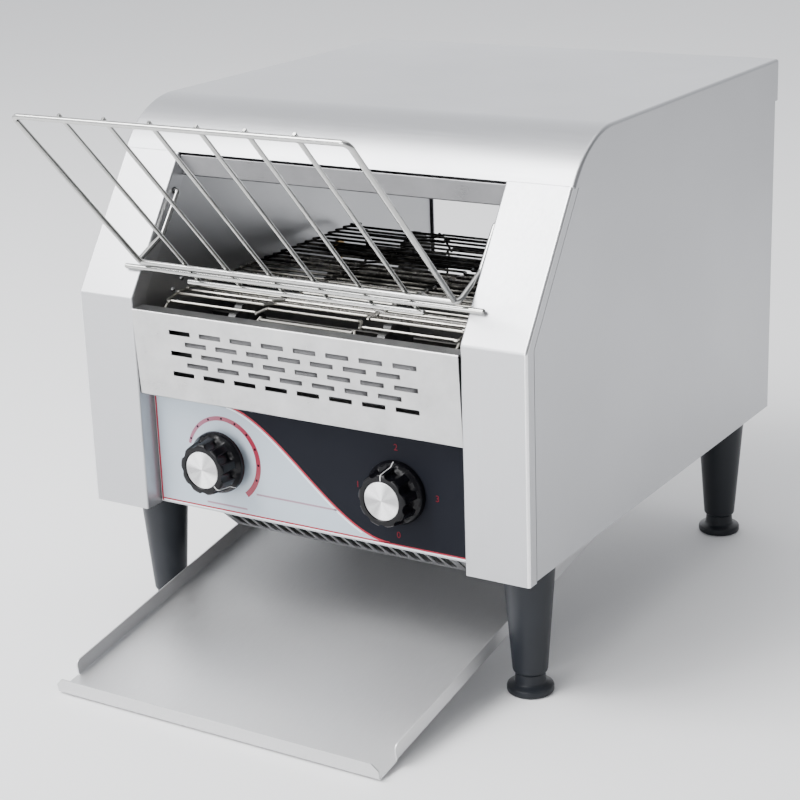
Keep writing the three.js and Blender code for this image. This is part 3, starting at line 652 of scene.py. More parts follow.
def lid():
    """The cover: a rolled front, a flat top and skirts, bent from one sheet."""
    turn = math.atan(1 / SLOPE)
    centre_z = LID_HIGH.z - LID_ARC
    start_z = centre_z + LID_ARC * math.cos(turn)
    centre_y = front_y(start_z) + LID_ARC * math.sin(turn)
    bend = 2.4
    steps = 5
    degrees = math.degrees(turn)
    path = [Vector((front_y(LID_LOW.z), LID_LOW.z))]
    path += arc((centre_y, centre_z), LID_ARC, 90 + degrees, 90, 40)
    path += rounded([path[-1], (LID_HIGH.y, LID_HIGH.z), (LID_HIGH.y, LID_LOW.z)], 3, 6)[1:]
    inward = [-n for n in normals_of(path)]

    def across(radius):
        """[x, inset] from the left skirt over to the right one."""
        left = [
            (bend - LID_HIGH.x - radius * math.cos(a), bend - radius * math.sin(a))
            for a in (math.pi / 2 * i / steps for i in range(steps + 1))
        ]
        return left + [(-x, inset) for x, inset in reversed(left)]

    outer, inner = across(bend), across(bend - SHEET)
    shape = Shape()
    width = len(outer)
    for section in (outer, inner):
        for p, n in zip(path, inward):
            shape.verts += [Vector((x, *(p + n * inset))) for x, inset in section]
    total = len(path)
    size = width * total
    for i in range(total - 1):
        for j in range(width - 1):
            a = i * width + j
            shape.faces.append((a, a + 1, a + 1 + width, a + width))
            shape.faces.append((a + size, a + 1 + size, a + 1 + width + size, a + width + size))
    for row in (0, (total - 1) * width):
        for j in range(width - 1):
            a = row + j
            shape.faces.append((a, a + 1, a + 1 + size, a + size))
    last = (total - 1) * width
    for j in (0, width - 1):
        outline = [i * width + j for i in range(total)]
        shape.faces.append(tuple(outline))
        shape.faces.append(tuple(i + size for i in outline))
        shape.faces.append((j, last + j, last + j + size, j + size))
    shape.paints = [0] * len(shape.faces)
    return shape


def vent_panel():
    """The folded panel under the mouth, with five rows of punched slots."""
    low, high = span("vent_panel")
    lean = 4.2
    path = [(11, high.z), (low.y, high.z), (low.y + lean, low.z), (high.y, low.z)]
    pitch, row_pitch, first_row = 26.6, 7.8, 13.7
    half_length, half_width, corner = 9.3, 1.75, 0.5
    holes = []
    for row in range(5):
        count = 8 - row % 2
        for i in range(count):
            at = (i - (count - 1) / 2) * pitch, first_row + row * row_pitch
            holes.append(slot_outline(*at, half_length, half_width, corner))
    return folded(path, high.x, holes=holes)


def header():
    low, high = span("front_header")
    path = [(high.y, high.z), (low.y, high.z), (low.y + 1, low.z), (high.y, low.z)]
    return folded(path, high.x)


def baffle():
    low, high = span("front_baffle")
    path = [(low.y + 0.4, high.z), (9, 243), (9, 208), (high.y - 0.4, low.z + 0.4)]
    return folded(path, high.x)


def cheeked(sheet, cheek, half):
    """A folded sheet with a flat cheek at each side."""
    left = prism(cheek, -half, THIN - half, "x")
    right = prism(cheek, half - THIN, half, "x")
    return joined(sheet, left, right)


def guard():
    """The trough under the body, with a row of long holes in its front slope."""
    low, high = span("lower_guard")
    half = high.x
    path = [(low.y, BOTTOM), (31, BOTTOM), (63, low.z + 0.9), (high.y, 98.8)]
    pitch, along, half_width, half_length, corner = 10.1, 27, 3.5, 11.5, 3.3
    places = [(i - 9) * pitch for i in range(19)]
    holes = [slot_outline(x, along, half_width, half_length, corner) for x in places]
    return cheeked(folded(path, half, holes=holes), [*path[1:], (high.y, BOTTOM)], half)


TRAY_SLOPE = math.radians(9.82)
TRAY_WALL = 12
TRAY_LIP = 1  # height of the lip's underside


def on_tray(along, above):
    """A point of the toast tray's slope."""
    front = span("toast_tray")[0].y
    c, s = math.cos(TRAY_SLOPE), math.sin(TRAY_SLOPE)
    start = Vector((front + TRAY_WALL * s, TRAY_LIP))
    return start + Vector((along * c - above * s, along * s + above * c))


def tray():
    """The toast tray: a floor, low sides with round front corners, and a clipped front lip."""
    half = span("toast_tray")[1].x
    wall, wall_start, length, clip, corner = TRAY_WALL, 22, 358, 5, 4
    bend = 1.8

    def section(height):
        path = rounded([(half, height), (half, 0), (-half, 0), (-half, height)], bend, 4)
        return [Vector((x, above)) for x, above in thickened(path, -THIN)]

    rings = []
    for i in range(6):
        angle = math.pi / 2 * i / 5
        along = wall_start + corner * (1 - math.cos(angle))
        height = wall - corner + corner * math.sin(angle)
        rings.append([Vector((x, *on_tray(along, above))) for x, above in section(height)])
    rings.append([Vector((x, *on_tray(length, above))) for x, above in section(wall)])
    lip = [(0, wall, half - clip), (0, wall - clip, half), (0, 0, half), (wall_start, 0, half)]
    path = [(*on_tray(along, above), x) for along, above, x in lip]
    return joined(skin(rings), folded(path, half, bend=1.6))


def chute():
    """The curved floor that turns falling toast forwards, with a cheek at each side."""
    half = span("toast_chute")[1].x
    start, turn = on_tray(350, 4), on_tray(470, 4)
    control, end = Vector((393, 92.5)), Vector((411, 166))
    steps = 20
    path = [start]
    for i in range(steps + 1):
        t = i / steps
        path.append(turn * (1 - t) ** 2 + control * 2 * t * (1 - t) + end * t * t)
    cheek = [*path, (398, 166), (375, 110), (start.x, 110)]
    return cheeked(folded(path, half, bend=0.5), cheek, half)


def make_sheets():
    # plain steel, a painted corner highlight and painted seam shade
    column_looks_with_painted_light = [UPRIGHT_STEEL, CORNER_HIGHLIGHT_STEEL, SEAM_SHADE]
    piece("right_front_column_sheet", column(), "right_front_column", looks=column_looks_with_painted_light)
    piece("left_front_column_sheet", mirrored(column()), "left_front_column", looks=column_looks_with_painted_light)
    piece("lid_sheet", lid(), "top_cover")
    piece("vent_panel_sheet", vent_panel(), "vent_panel")
    # the header and the baffle take the dark steel of painted shade
    piece("header_sheet", header(), "front_header", looks=[HEADER_SHADE_STEEL])
    piece("baffle_sheet", baffle(), "front_baffle", looks=[HEADER_SHADE_STEEL])
    piece("guard_sheet", guard(), "lower_guard", looks=[LOOKS["inner_steel"]])
    piece("tray_sheet", tray(), "toast_tray")
    piece("chute_sheet", chute(), "toast_chute")


# ---------- wire belt ----------


def belt_point(x, along, out=0.0):
    """A point on the belt, at a distance round its loop from the top of the idler."""
    straight = DRIVE.y - IDLER.y
    turn = math.pi * BELT_RADIUS
    along %= 2 * (straight + turn)
    wheel = IDLER if along >= 2 * straight + turn else DRIVE
    reach = BELT_RADIUS + out
    if along < straight:
        return Vector((x, IDLER.y + along, IDLER.z + reach))
    if straight + turn <= along < 2 * straight + turn:
        return Vector((x, DRIVE.y - (along - straight - turn), DRIVE.z - reach))
    angle = (along - straight) / BELT_RADIUS if wheel is DRIVE else 0
    if wheel is IDLER:
        angle = math.pi + (along - 2 * straight - turn) / BELT_RADIUS
    return Vector((x, wheel.y + reach * math.sin(angle), wheel.z + reach * math.cos(angle)))


def belt():
    """Bent wires hooked to each other, with two stepped bends in each."""
    straight = DRIVE.y - IDLER.y
    loop = 2 * (straight + math.pi * BELT_RADIUS)
    count = 54
    pitch = loop / count
    step_x, step = 41, pitch / 2
    edge = BELT_HIGH.x - BELT_WIRE
    over = 2.1
    whole = Shape()
    for i in range(count):
        s = i * pitch
        flat = [
            (-edge + 3.4, s - pitch - 2.2, over),
            (-edge, s - pitch - 2.2, over),
            (-edge, s, 0),
            (-step_x - 2.6, s, 0),
            (-step_x - 2.6, s - 3.4, over * 0.5),
            (-step_x + 2.6, s + step + 3.4, -over * 0.5),
            (-step_x + 2.6, s + step, 0),
            (step_x - 2.6, s + step, 0),
            (step_x - 2.6, s + step + 3.4, -over * 0.5),
            (step_x + 2.6, s - 3.4, over * 0.5),
            (step_x + 2.6, s, 0),
            (edge, s, 0),
            (edge, s - pitch - 2.2, over),
            (edge - 3.4, s - pitch - 2.2, over),
        ]
        bent = rounded(flat, 1.5, 3)
        whole.add(tube([belt_point(*p) for p in bent], BELT_WIRE, 8))
    return whole


def toothed(centre, teeth, valley, tip, phase, half_width, bore):
    """A sprocket with round valleys, as an outline of [y, z] with a bore."""
    tooth = [(-0.14, tip), (0, tip + 0.3), (0.14, tip)]
    tooth += [(0.3, valley + 0.5), (0.5, valley), (0.7, valley + 0.5)]
    outline = []
    for i in range(teeth):
        for part, radius in tooth:
            angle = phase + (i + part) * 2 * math.pi / teeth
            outline.append((centre.y + radius * math.sin(angle), centre.z + radius * math.cos(angle)))
    hole = circle(centre.y, centre.z, bore)
    return prism(outline, -half_width, half_width, "x", [hole])


def shaft(node):
    """A round bar with chamfered ends."""
    low, high = span(node)
    radius, chamfer = (high.z - low.z) / 2, 0.7
    profile = [(radius - chamfer, low.x), (radius, low.x + chamfer)]
    profile += [(radius, high.x - chamfer), (radius - chamfer, high.x)]
    return lathe(profile, (0, *middle(node).yz), "x", 48)


def bush(node):
    """A flanged bush, with its flange on the outer side of the wall."""
    low, high = span(node)
    outer = max(abs(low.x), abs(high.x))
    inner = min(abs(low.x), abs(high.x))
    flange = (high.z - low.z) / 2
    profile = [(5.4, inner + 0.5), (5.9, inner), (7.7, inner), (8, inner + 0.3), (8, outer - 2.7)]
    profile += [(flange - 0.4, outer - 2.7), (flange, outer - 2.3), (flange, outer - 0.5)]
    profile += [(flange - 0.5, outer), (5.9, outer), (5.4, outer - 0.5)]
    shape = lathe(profile, (0, *middle(node).yz), "x", 48, True)
    return shape if high.x > 0 else mirrored(shape)


CHAIN_PITCH = 6.35


def chain_wheels():
    """The pitch circles of the driven and the motor sprocket, as [centre, radius]."""
    wheels = (DRIVE, 16), (joint_at("motor_output_spin"), 12)
    return [(at.yz, CHAIN_PITCH / (2 * math.sin(math.pi / teeth))) for at, teeth in wheels]


def chain_pins():
    """The [y, z] places of the chain's pins, evenly round both sprockets."""
    (first, large), (second, small) = chain_wheels()
    reach = second - first
    heading = math.atan2(reach.y, reach.x)
    lean = math.acos((large - small) / reach.length)
    around_second = arc(second, small, *(math.degrees(heading + a) for a in (lean, -lean)), 24)
    back = 2 * math.pi - lean
    around_first = arc(first, large, *(math.degrees(heading - a) for a in (lean, back)), 32)
    loop = [*around_second, *around_first]
    loop.append(loop[0])
    lengths = [(q - p).length for p, q in zip(loop, loop[1:])]
    count = 2 * round(sum(lengths) / CHAIN_PITCH / 2)
    pins, passed, edge = [], 0, 0
    for i in range(count):
        target = sum(lengths) * i / count
        while passed + lengths[edge] < target:
            passed += lengths[edge]
            edge += 1
        pins.append(loop[edge].lerp(loop[edge + 1], (target - passed) / lengths[edge]))
    return pins


def chain():
    """Roller chain: inner and outer links in turn."""
    centre = middle("drive_chain").x
    pins = chain_pins()
    whole = Shape()
    for i, pin in enumerate(pins):
        following = pins[(i + 1) % len(pins)]
        heading = math.degrees(math.atan2(*(following - pin).yx))
        plate = arc(following, 2.7, heading - 90, heading + 90, 8)
        plate += arc(pin, 2.7, heading + 90, heading + 270, 8)
        offset = 1.9 if i % 2 else 2.7
        for side in (-1, 1):
            near = centre + side * offset
            whole.add(prism(plate, near - 0.3, near + 0.3, "x"))
        whole.add(prism(circle(*pin, 1.6, 16), centre - 1.5, centre + 1.5, "x"))
        whole.add(prism(circle(*pin, 0.9, 12), centre - 3.4, centre + 3.4, "x"))
    return whole


def hubbed(wheel, centre, bore, hub, half_width, x):
    """A sprocket and its hub, set at a distance across."""
    profile = [(bore, -half_width), (hub, -half_width), (hub, half_width), (bore, half_width)]
    collar = lathe(profile, centre, "x", 32, True)
    return joined(wheel, collar).moved(Matrix.Translation((x, 0, 0)))


def chain_wheel(which, teeth, bore, hub):
    """A chain sprocket with its hub, in line with the chain."""
    centre, radius = chain_wheels()[which]
    at = Vector((0, *centre))
    wheel = toothed(at, teeth, radius - 3.4, radius - 1.95, 0, 1.3, bore)
    return hubbed(wheel, at, bore, hub, 4.4, middle("drive_chain").x)


def make_drive():
    piece("belt_wires", belt(), "wire_belt")
    twelfth = math.pi / 12
    for end, centre in (("drive", DRIVE), ("idler", IDLER)):
        piece(end + "_shaft_bar", shaft(end + "_shaft"), end + "_shaft")
        for side in ("left", "right"):
            node = f"{end}_bush_{side}"
            piece(node + "_turned", bush(node), node)
        for number in (1, 2):
            node = f"{end}_sprocket_{number}"
            at = Vector((0, *centre.yz))
            wheel = toothed(at, 12, 19.4, 21.4, twelfth, 3, 5.3)
            piece(node + "_wheel", hubbed(wheel, at, 5.3, 9.5, 4, middle(node).x), node)
    piece("chain_links", chain(), "drive_chain")
    driven = chain_wheel(0, 16, 5.4, 9)
    piece("driven_chain_wheel", driven, "driven_chain_sprocket")
    # the motor's sprocket carries its output shaft
    motor = chain_wheel(1, 12, 3.9, 6.5)
    low, high = span("motor_chain_sprocket")
    centre = Vector((0, *chain_wheels()[1][0]))
    motor.add(lathe([(3.3, low.x), (3.8, low.x + 0.5), (3.8, high.x)], centre, "x", 32))
    piece("motor_chain_wheel", motor, "motor_chain_sprocket")


# ---------- heaters ----------


def heater(node):
    """A quartz tube with a coil inside and a ceramic cap at each end."""
    end = span(node)[1].x
    centre = Vector((0, *middle(node).yz))
    glass = [(3.3, 10 - end), (4.2, 10 - end), (4.2, end - 10), (3.3, end - 10)]
    shape = lathe(glass, centre, "x", 32, True)
    turns, points, coil_radius = 72, 10, 2.4
    coil = []
    for i in range(turns * points + 1):
        angle = 2 * math.pi * i / points
        x = (end - 13) * (2 * i / (turns * points) - 1)
        flat = coil_radius * math.cos(angle), coil_radius * math.sin(angle)
        coil.append(centre + placed("x", *flat, x))
    shape.add(tube(coil, 0.35, 5), 1)
    # the cap's radii, with their distances in from its end
    cap = [(3, 0), (4.4, 0), (5, 0.7), (5, 5), (4.5, 5.6), (4.5, 7), (5, 7.6), (5, 12.3), (4.3, 13.4)]
    for side in (-1, 1):
        shape.add(lathe([(r, side * (end - inset)) for r, inset in cap], centre, "x", 32), 2)
    return shape


def make_heaters():
    coil_look = oiled("heater_coil", (0.22, 0.2, 0.19), 0.5)
    ceramic = moulded("heater_ceramic", (0.72, 0.69, 0.62), 0.6, 0.00004, 900)
    looks = [LOOKS["heater_quartz"], coil_look, ceramic]
    for place in ("upper", "lower"):
        for number in (1, 2, 3):
            node = f"{place}_heater_{number}"
            piece(node + "_lamp", heater(node), node, looks=looks)


# ---------- motor and electrical parts ----------


def screw(x, y, z, axis, side, radius=3.0):
    """A pan head, with its cross recess as a thin cross of painted shade, standing on a face towards one side of
    an axis.
    """
    profile = [(radius, 0), (radius, 0.5), (0.86 * radius, 1.1), (0.5 * radius, 1.5), (0.2, 1.55)]
    head = lathe([(r, side * d) for r, d in profile], (0, 0, 0), axis, 24)
    arm = 0.14 * radius
    depth = sorted((side * 1.3, side * 1.6))
    # the cross takes the second look: painted shade in place of the recess
    for a, b in ((0.55 * radius, arm), (arm, 0.55 * radius)):
        head.add(prism(rectangle(0, 0, a, b), *depth, axis), 1)
    return head.moved(Matrix.Translation((x, y, z)))


def gear_motor():
    """A round motor on a gearbox, with a foot bent from its mounting plate."""
    low, high = span("gear_motor")
    centre = joint_at("motor_output_spin")
    at = (0, centre.y, centre.z)
    face, back = low.x, high.x
    can = [(4.4, face + 5.5), (24, face + 5.5), (28, face + 5.5), (29, face + 6.5)]
    can += [(29, back - 8), (28.2, back - 7.6), (28.2, back - 6.4), (29, back - 6)]
    can += [(29, back - 2.5), (27, back - 0.3), (10, back), (4.4, back)]
    shape = lathe(can, at, "x", 72, True)
    gearbox = [(4.4, face), (23, face), (24, face + 1), (24, face + 5.5), (4.4, face + 5.5)]
    shape.add(lathe(gearbox, at, "x", 64, True))
    half_height = (centre.z - low.z) / 2 - 12
    foot = slot_outline(centre.y, (low.z + centre.z) / 2 - 12, 20, half_height, 1.2)
    shape.add(prism(foot, face + 1, face + 3, "x"))
    shape.add(prism(slot_outline(face + 12, centre.y, 11, 20, 1.5), low.z, low.z + 2, "z"))
    for y, z in arc(centre.yz, 18.5, 45, 315, 3):
        shape.add(screw(face, y, z, "x", -1, 2.4))
    for side in (1, -1):
        shape.add(screw(face + 16, centre.y + side * 13, low.z + 2, "z", 1, 2.6))
    return shape


def speed_control():
    """A dimmer: a potted body on a board, with its solder side."""
    low, high = span("speed_control")
    x, z = joint_at("speed_knob_turn").xz
    bore = [circle(x, z, 3.6)]
    shape = prism(slot_outline(x, z, 22, 22, 2.5), low.y, high.y - 3, "y", bore)
    board = slot_outline(x, (low.z + high.z) / 2, 30, (high.z - low.z) / 2, 1.5)
    shape.add(prism(board, high.y - 2.9, high.y - 1.3, "y"), 1)
    solder = [(1.4, high.y - 1.3), (0.8, high.y - 0.4), (0.3, high.y)]
    for i in range(7):
        shape.add(lathe(solder, (x - 18 + 6 * i, 0, low.z + 6), "y", 12), 2)
    return shape


def selector_switch():
    """A rotary switch: a square base under stacked round wafers."""
    low, high = span("selector_switch")
    x, z = joint_at("selector_knob_turn").xz
    bore = [circle(x, z, 3.6)]
    base, wafers = 8, 4
    shape = prism(slot_outline(x, z, 20, 20, 2), low.y, low.y + base, "y", bore)
    step = (high.y - low.y - base) / wafers
    for i in range(wafers):
        start = low.y + base + i * step
        profile = [(19, start), (21, start + 0.8), (21, start + step - 0.8), (19, start + step)]
        shape.add(lathe([(3.6, start), *profile, (3.6, start + step)], (x, 0, z), "y", 48, True))
        for side in (-1, 1):
            tab = slot_outline(x + side * 19, z, 1.8, 2.4, 0.4)
            shape.add(prism(tab, start + step / 2 - 0.4, start + step / 2 + 0.4, "y"), 2)
    return shape


def terminal_block():
    """A moulded comb with a clamping screw at each end of its five terminals."""
    low, high = span("terminal_block")
    pitch, half_slot, floor, top = (high.y - low.y) / 5, 1.5, low.z + 12, high.z
    outline = [(low.y, low.z), (low.y, top)]
    for i in range(1, 5):
        y = low.y + i * pitch
        outline += [(y - half_slot, top), (y - half_slot, floor)]
        outline += [(y + half_slot, floor), (y + half_slot, top)]
    outline += [(high.y, top), (high.y, low.z)]
    shape = prism(outline, low.x, high.x, "x")
    for i in range(5):
        for x in (low.x + 6, high.x - 6):
            shape.add(screw(x, low.y + (i + 0.5) * pitch, top, "z", 1, 2.2), 2)
    return shape


def gland():
    """A domed gland with a hexagonal body, held by a nut behind the panel."""
    low, high = span("cable_gland")
    x, z = middle("cable_gland").xz
    bore = [circle(x, z, 4.6, 32)]
    hexagon = arc((x, z), (high.x - low.x) / 2, 0, 300, 5)
    shape = prism(hexagon, low.y, REAR - 1.6, "y", bore)
    shape.add(prism(circle(x, z, 7.6, 32), REAR - 1.6, REAR + 0.3, "y", bore))
    shape.add(prism(hexagon, REAR + 0.3, REAR + 4.6, "y", bore))
    dome = [(4.6, REAR + 4.6), (9.6, REAR + 4.6), (9.8, REAR + 7.6), (9.2, REAR + 9.8)]
    dome += [(7.8, high.y - 0.5), (6.4, high.y), (5.2, high.y - 0.2), (4.6, high.y - 0.8)]
    shape.add(lathe(dome, (x, 0, z), "y", 48, True))
    return shape


def make_inner_parts():
    # near-black for the screws' crosses: painted shade of their recesses
    dark = moulded("screw_recess_painted_shade", (0.02, 0.02, 0.02), 0.6)
    board = moulded("board_green", (0.03, 0.12, 0.05), 0.4)
    tinned = plated("tinned_metal", (0.6, 0.58, 0.52), 0.3)
    piece("gear_motor_body", gear_motor(), "gear_motor", looks=[LOOKS["motor_case"], dark])
    phenolic = [LOOKS["phenolic"], board, tinned]
    for make in (speed_control, selector_switch, terminal_block):
        piece(make.__name__ + "_body", make(), make.__name__, looks=phenolic)
    piece("cable_gland_body", gland(), "cable_gland")
    screws = Shape()
    width = HALF - 7
    for z in (118, 240, 345):
        for side in (-1, 1):
            screws.add(screw(side * width, REAR, z, "y", 1))
    for x in (-90, 0, 90):
        screws.add(screw(x, REAR, 112, "y", 1))
    wall = MOUTH + 0.2
    for y, z in ((47, 256), (58, 262), (52, 246)):
        for side in (-1, 1):
            screws.add(screw(side * wall, y, z, "x", -side, 1.8))
    piece("screws", screws, looks=[SCREW_STEEL, dark], slot="drive_steel", body="housing")


# ---------- feed rack ----------


def on_rack(down, under=2.8):
    """A point under the rack's wires, at a distance down from their tips, as [y, z]."""
    tip, foot = Vector((-109.2, 413.3)), Vector((22.6, 273.4))
    along = (foot - tip).normalized()
    return tip + along * down + Vector((along.y, -along.x)) * under


def rack():
    """Six sloping wires welded on a bent frame, and arms that turn in the columns."""
    pivot = joint_at("feed_rack_hinge")
    wire, bar = 1.5, 2.0
    outer, arm = 128.7, 131.4
    pitch = 36.2
    reach = 192.2
    shape = Shape()
    for i in range(6):
        x = (i - 2.5) * pitch
        ends = [Vector((x, *on_rack(down, 0))) for down in (0, reach)]
        shape.add(tube(ends, wire, 16))
    top, low, rest, toe = (on_rack(down) for down in (1.4, 171, 179.1, 190.6))
    leg = on_rack(170)
    frame_path = [(-outer, *leg), (-outer, *top), (outer, *top), (outer, *leg)]
    shape.add(tube(rounded(frame_path, 5, 8), bar, 16))
    shape.add(tube([(-147.3, *rest), (147.3, *rest)], bar, 16))
    shape.add(tube([(-97.7, *toe), (97.7, *toe)], bar, 16))
    half = [(MOUTH + 3, pivot.y, pivot.z), (arm, pivot.y, pivot.z), (arm, 36, 300.5), (arm, *low)]
    path = [(-x, y, z) for x, y, z in half] + half[::-1]
    shape.add(tube(rounded(path, 4, 8), bar, 16))
    return shape


# ---------- knobs ----------


def knob(node):
    """A knob with nine flutes and a skirt, and the place of its front."""
    low, high = span(node)
    x, z = middle(node).xz
    back, front = high.y, low.y
    flute, ring, count = 4.6, 21.6, 9
    turn = 2 * math.pi / count

    def fluted(radius, along, angle):
        if along > back - 6.8:
            return radius
        # angles run from +X towards +Z; the flutes are set off from straight up by half a turn
        off = (angle - math.pi / 2 - turn / 2) % turn
        off = min(off, turn - off)
        side = ring * math.sin(off)
        if side >= flute:
            return radius
        return min(radius, ring * math.cos(off) - math.sqrt(flute * flute - side * side))

    profile = [(CAP + 0.2, front + 1.6), (CAP + 0.2, front + 0.5), (CAP + 0.6, front + 0.05)]
    profile += [(16.2, front), (17.7, front + 0.2), (18.5, front + 0.7), (19, front + 1.7)]
    profile += [(20.2, back - 7.4), (20.5, back - 6.4), (22, back - 4.6), (22.8, back - 3)]
    profile += [(23, back - 1.5), (23, back)]
    return lathe(profile, (x, 0, z), "y", 288, radius_at=fluted), x, z, front, back


def pointer(x, z, front, back, clockwise):
    """The white line from the cap's rim over the body to the skirt."""
    half, depth = 0.3, 0.5
    stretches = [(CAP + 0.8, front - 0.04), (16.2, front - 0.06), (17.8, front + 0.12)]
    stretches += [(18.6, front + 0.6), (19.1, front + 1.65), (20.3, back - 7.3)]
    stretches += [(20.6, back - 6.4), (22.1, back - 4.7), (22.9, back - 3)]
    rings = []
    turn = Matrix.Rotation(math.radians(clockwise), 3, "Y")
    for radius, y in stretches:
        sunk_y, sunk = y + depth, radius - depth
        corners = [(-half, y, radius), (half, y, radius)]
        corners += [(half, sunk_y, sunk), (-half, sunk_y, sunk)]
        rings.append([turn @ Vector(c) + Vector((x, 0, z)) for c in corners])
    return skin(rings)


def make_knobs():
    for word, clockwise in (("speed", 135), ("selector", 0)):
        node = word + "_knob"
        shape, x, z, front, back = knob(node)
        shape.add(pointer(x, z, front, back, clockwise), 1)
        piece(node + "_body", shape, node, looks=[LOOKS["knob_plastic"], WHITE])
        cap = [(0.3, front + 0.4), (CAP - 0.9, front + 0.3), (CAP - 0.2, front + 0.55)]
        cap += [(CAP, front + 1), (CAP, front + 1.4), (0.3, front + 1.4)]
        centre = Vector((x, front, z)) * MM + ORIGIN
        look = spun(word + "_cap_spun", (0.97, 0.97, 0.98), centre)
        piece(node + "_disc", lathe(cap, (x, 0, z), "y", 64), node + "_cap", looks=[look])


# ---------- control label ----------


def strip(points, width, low_y, high_y):
    """A printed line of even width, or of the widths given for each point."""
    points = [Vector(p) for p in points]
    widths = width if isinstance(width, list) else [width] * len(points)
    sides = normals_of(points)
    left = [p + n * w / 2 for p, n, w in zip(points, sides, widths)]
    right = [p - n * w / 2 for p, n, w in zip(points, sides, widths)]
    return prism([*left, *reversed(right)], low_y, high_y, "y")


def digit(text, x, z, size, y):
    """A printed digit as a thin solid."""
    curve = bpy.data.curves.new("digit", "FONT")
    curve.body = text
    curve.size = size
    curve.extrude = 0.04
    curve.align_x = curve.align_y = "CENTER"
    made = bpy.data.objects.new("digit", curve)
    bpy.context.scene.collection.objects.link(made)
    bpy.context.view_layer.update()
    mesh = bpy.data.meshes.new_from_object(made)
    verts = [Vector((x + v.co.x, y - v.co.z, z + v.co.y)) for v in mesh.vertices]
    shape = Shape(verts, [tuple(p.vertices) for p in mesh.polygons])
    bpy.data.objects.remove(made)
    bpy.data.curves.remove(curve)
    bpy.data.meshes.remove(mesh)
    return shape


def around(centre, radius, degrees):
    """A point round a knob's axis, clockwise from straight up, as [x, z]."""
    turn = math.radians(degrees)
    return centre.x + radius * math.sin(turn), centre.z + radius * math.cos(turn)


LAYER = 0.06  # how far each layer of ink stands out


def label():
    """The overlay: pale on the left, charcoal on the right of a red S-shaped line."""
    low, high = span("control_label")
    face = low.y
    speed, selector = joint_at("speed_knob_turn"), joint_at("selector_knob_turn")
    holes = [circle(k.x, k.z, 5) for k in (speed, selector)]
    rim = [(low.x, low.z), (high.x, low.z), (high.x, high.z), (low.x, high.z)]
    shape = prism(rim, face, high.y, "y", holes)

    def printed(points, width, ink, layers=1):
        """Prints a line, on top of the layers under it."""
        shape.add(strip(points, width, face - layers * LAYER, face + 0.1), INKS.index(ink))

    # the border between the pale and the charcoal part, falling from left to right
    start, end, edge = -74, 66, 2.2
    curve = []
    for i in range(41):
        t = i / 40
        drop = t * t * (3 - 2 * t)
        curve.append((start + (end - start) * t, high.z - (high.z - low.z - edge) * drop))
    dark = [*curve, (high.x, low.z + edge), (high.x, high.z)]
    shape.add(prism(dark, face - LAYER, face + 0.1, "y", [holes[1]]), INKS.index(CHARCOAL))
    left = low.x + 1.6
    printed([(low.x + 0.9, high.z), (low.x + 0.9, low.z)], 1.4, RED, 2)
    printed([(left, low.z + 1.8), (high.x, low.z + 1.8)], 1.1, RED, 2)
    printed([(left, low.z + 0.7), (high.x, low.z + 0.7)], 0.9, PALE)
    printed(curve, 1.5, RED, 2)
    printed([(x - 1.5, z - 1.5) for x, z in curve[2:-6]], 0.8, PALE)
    # the speed scale: a crescent that widens clockwise, with nine dots
    ring, first_angle, sweep = 30.8, -75, 217
    shares = [i / 60 for i in range(61)]
    scale = [around(speed, ring, first_angle + sweep * t) for t in shares]
    printed(scale, [2 + 2.2 * math.sqrt(t) for t in shares], SCALE_RED, 2)
    for i in range(9):
        dot = circle(*around(speed, ring, -67.5 + 22.5 * i), 0.9, 12)
        shape.add(prism(dot, face - 3 * LAYER, face + 0.1, "y"), INKS.index(CHARCOAL))
    # plain lines stand where the real overlay has words
    for x, z, length in ((-91, 108.5, 36), (-46, 121.5, 69)):
        printed([(x, z), (x + length, z)], 1.4, FAINT)
    for text, angle in (("0", 180), ("1", 270), ("2", 0), ("3", 90)):
        x, z = around(selector, 32, angle)
        shape.add(digit(text, x, z, 6.6, face - 2 * LAYER), INKS.index(DIGIT_RED))
    return shape


# ---------- legs and feet ----------


def make_legs():
    for depth in ("front", "rear"):
        for side in ("left", "right"):
            node = f"leg_{depth}_{side}"
            centre = (*middle(node).xy, 0)
            top = span(node)[1].z
            leg = [(4.6, 15.5), (11.4, 15.5), (12, 16.1), (12.4, 17.4), (18.1, 91)]
            leg += [(18.6, 94.6), (19, 95.4), (19, top - 0.6), (18.4, top), (4.6, top)]
            piece(node + "_cone", lathe(leg, centre, "z", 64, True), node)
            foot = [(14.6, 0), (15.6, 0.2), (16.3, 0.8), (16.6, 1.7), (16.6, 4.2), (16.2, 5.2)]
            foot += [(15.2, 5.9), (12.6, 6.6), (11.5, 7.3), (11, 8.4), (10.5, 14.4), (10, 15)]
            foot += [(4.1, 15), (4.1, 39.5), (3.6, 40)]
            name = f"foot_{depth}_{side}"
            piece(name + "_pad", lathe(foot, centre, "z", 64), name)


# ---------- the studio ----------


def soft_world():
    """A bright world that falls off towards the object's right and overhead."""
    world = bpy.data.worlds.new("studio")
    bpy.context.scene.world = world
    world.use_nodes = True
    tree = world.node_tree
    direction = tree.nodes.new("ShaderNodeTexCoord").outputs["Generated"]
    parts = tree.nodes.new("ShaderNodeSeparateXYZ")
    tree.links.new(direction, parts.inputs["Vector"])
    strength = tree.nodes.new("ShaderNodeMath")
    strength.operation = "MULTIPLY"
    # an axis, the stretch of it that the light changes over, and the light at both ends
    falloffs = ("X", -0.3, 0.7, 1.7, 0.35), ("Z", 0.3, 0.8, 1.15, 0.6)
    for socket, (axis, *values) in zip(strength.inputs, falloffs):
        falloff = tree.nodes.new("ShaderNodeMapRange")
        tree.links.new(parts.outputs[axis], falloff.inputs["Value"])
        for name, value in zip(("From Min", "From Max", "To Min", "To Max"), values):
            falloff.inputs[name].default_value = value
        tree.links.new(falloff.outputs["Result"], socket)
    background = tree.nodes["Background"]
    background.inputs["Color"].default_value = (0.95, 0.965, 1.0, 1)
    tree.links.new(strength.outputs["Value"], background.inputs["Strength"])


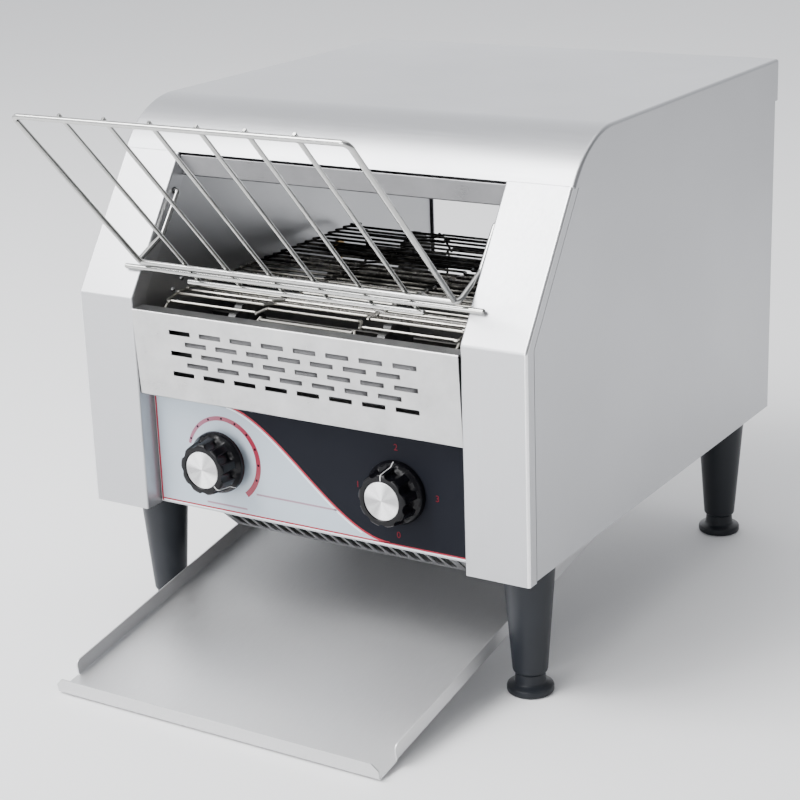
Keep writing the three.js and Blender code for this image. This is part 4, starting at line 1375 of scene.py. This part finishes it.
def studio():
    """A pale floor, a soft world and large soft lights."""
    bpy.ops.mesh.primitive_plane_add(size=24, location=(0, 0, 0))
    floor = bpy.context.object
    floor.name = "floor"
    look = Look("floor", (0.92, 0.92, 0.93), 0.7)
    look.set("Base Color", look.mixed(look.noise(3, 2), (0.92, 0.92, 0.925), (0.94, 0.94, 0.945)))
    floor.data.materials.append(look.material)
    soft_world()
    for name, place, target, size, power in (
        ("key", (-1.2, -1.4, 2.4), (0, 0, 0.2), 1.6, 120),
        ("fill", (-0.5, -2.4, 0.9), (0, 0, 0.1), 1.4, 40),
        ("top", (0.1, 0.3, 2.8), (0, 0, 0.2), 2.0, 20),
    ):
        light = bpy.data.lights.new(name, "AREA")
        light.size = size
        light.energy = power
        lamp = bpy.data.objects.new(name, light)
        bpy.context.scene.collection.objects.link(lamp)
        lamp.location = place
        heading = Vector(target) - Vector(place)
        lamp.rotation_euler = heading.to_track_quat("-Z", "Y").to_euler()


def camera():
    """The camera stands in front, to the right and above, rolled slightly."""
    lens = bpy.data.cameras.new("camera")
    lens.lens = 88.13
    lens.sensor_width = 36
    made = bpy.data.objects.new("camera", lens)
    bpy.context.scene.collection.objects.link(made)
    ahead = Vector((-0.5074, 0.8035, -0.3112)).normalized()
    roll = math.radians(-2.04)
    right = ahead.cross(Vector((0, 0, 1))).normalized()
    up = right.cross(ahead)
    across = right * math.cos(roll) + up * math.sin(roll)
    above = up * math.cos(roll) - right * math.sin(roll)
    made.matrix_world = Matrix((across, above, -ahead)).transposed().to_4x4()
    made.location = (0.7455, -1.19838, 0.6198)
    bpy.context.scene.camera = made


# ---------- building it ----------


def finish_cad_nodes():
    """Gives each CAD node its finish, with painted shade on the heat shield and the lower reflector, and the flat
    sheets small rounded edges.
    """
    shade_painted_nodes = ("heat_shield", "lower_reflector")
    for node, obj in frame["nodes"].items():
        obj.data.materials.clear()
        look = UNDER_BELT_SHADE if node in shade_painted_nodes else LOOKS.get(SLOT_OF[node], LOOKS["body_steel"])
        obj.data.materials.append(look)
        if not obj.hide_render:
            edge = obj.modifiers.new("edge", "BEVEL")
            edge.width = 0.25 * MM
            edge.segments = 2
            edge.limit_method = "ANGLE"
            edge.angle_limit = math.radians(40)


camera()
studio()
make_sheets()
make_drive()
piece("feed_rack_wires", rack(), "feed_rack")
make_knobs()
piece("control_label_film", label(), "control_label", looks=INKS)
make_legs()
make_heaters()
make_inner_parts()
finish_cad_nodes()
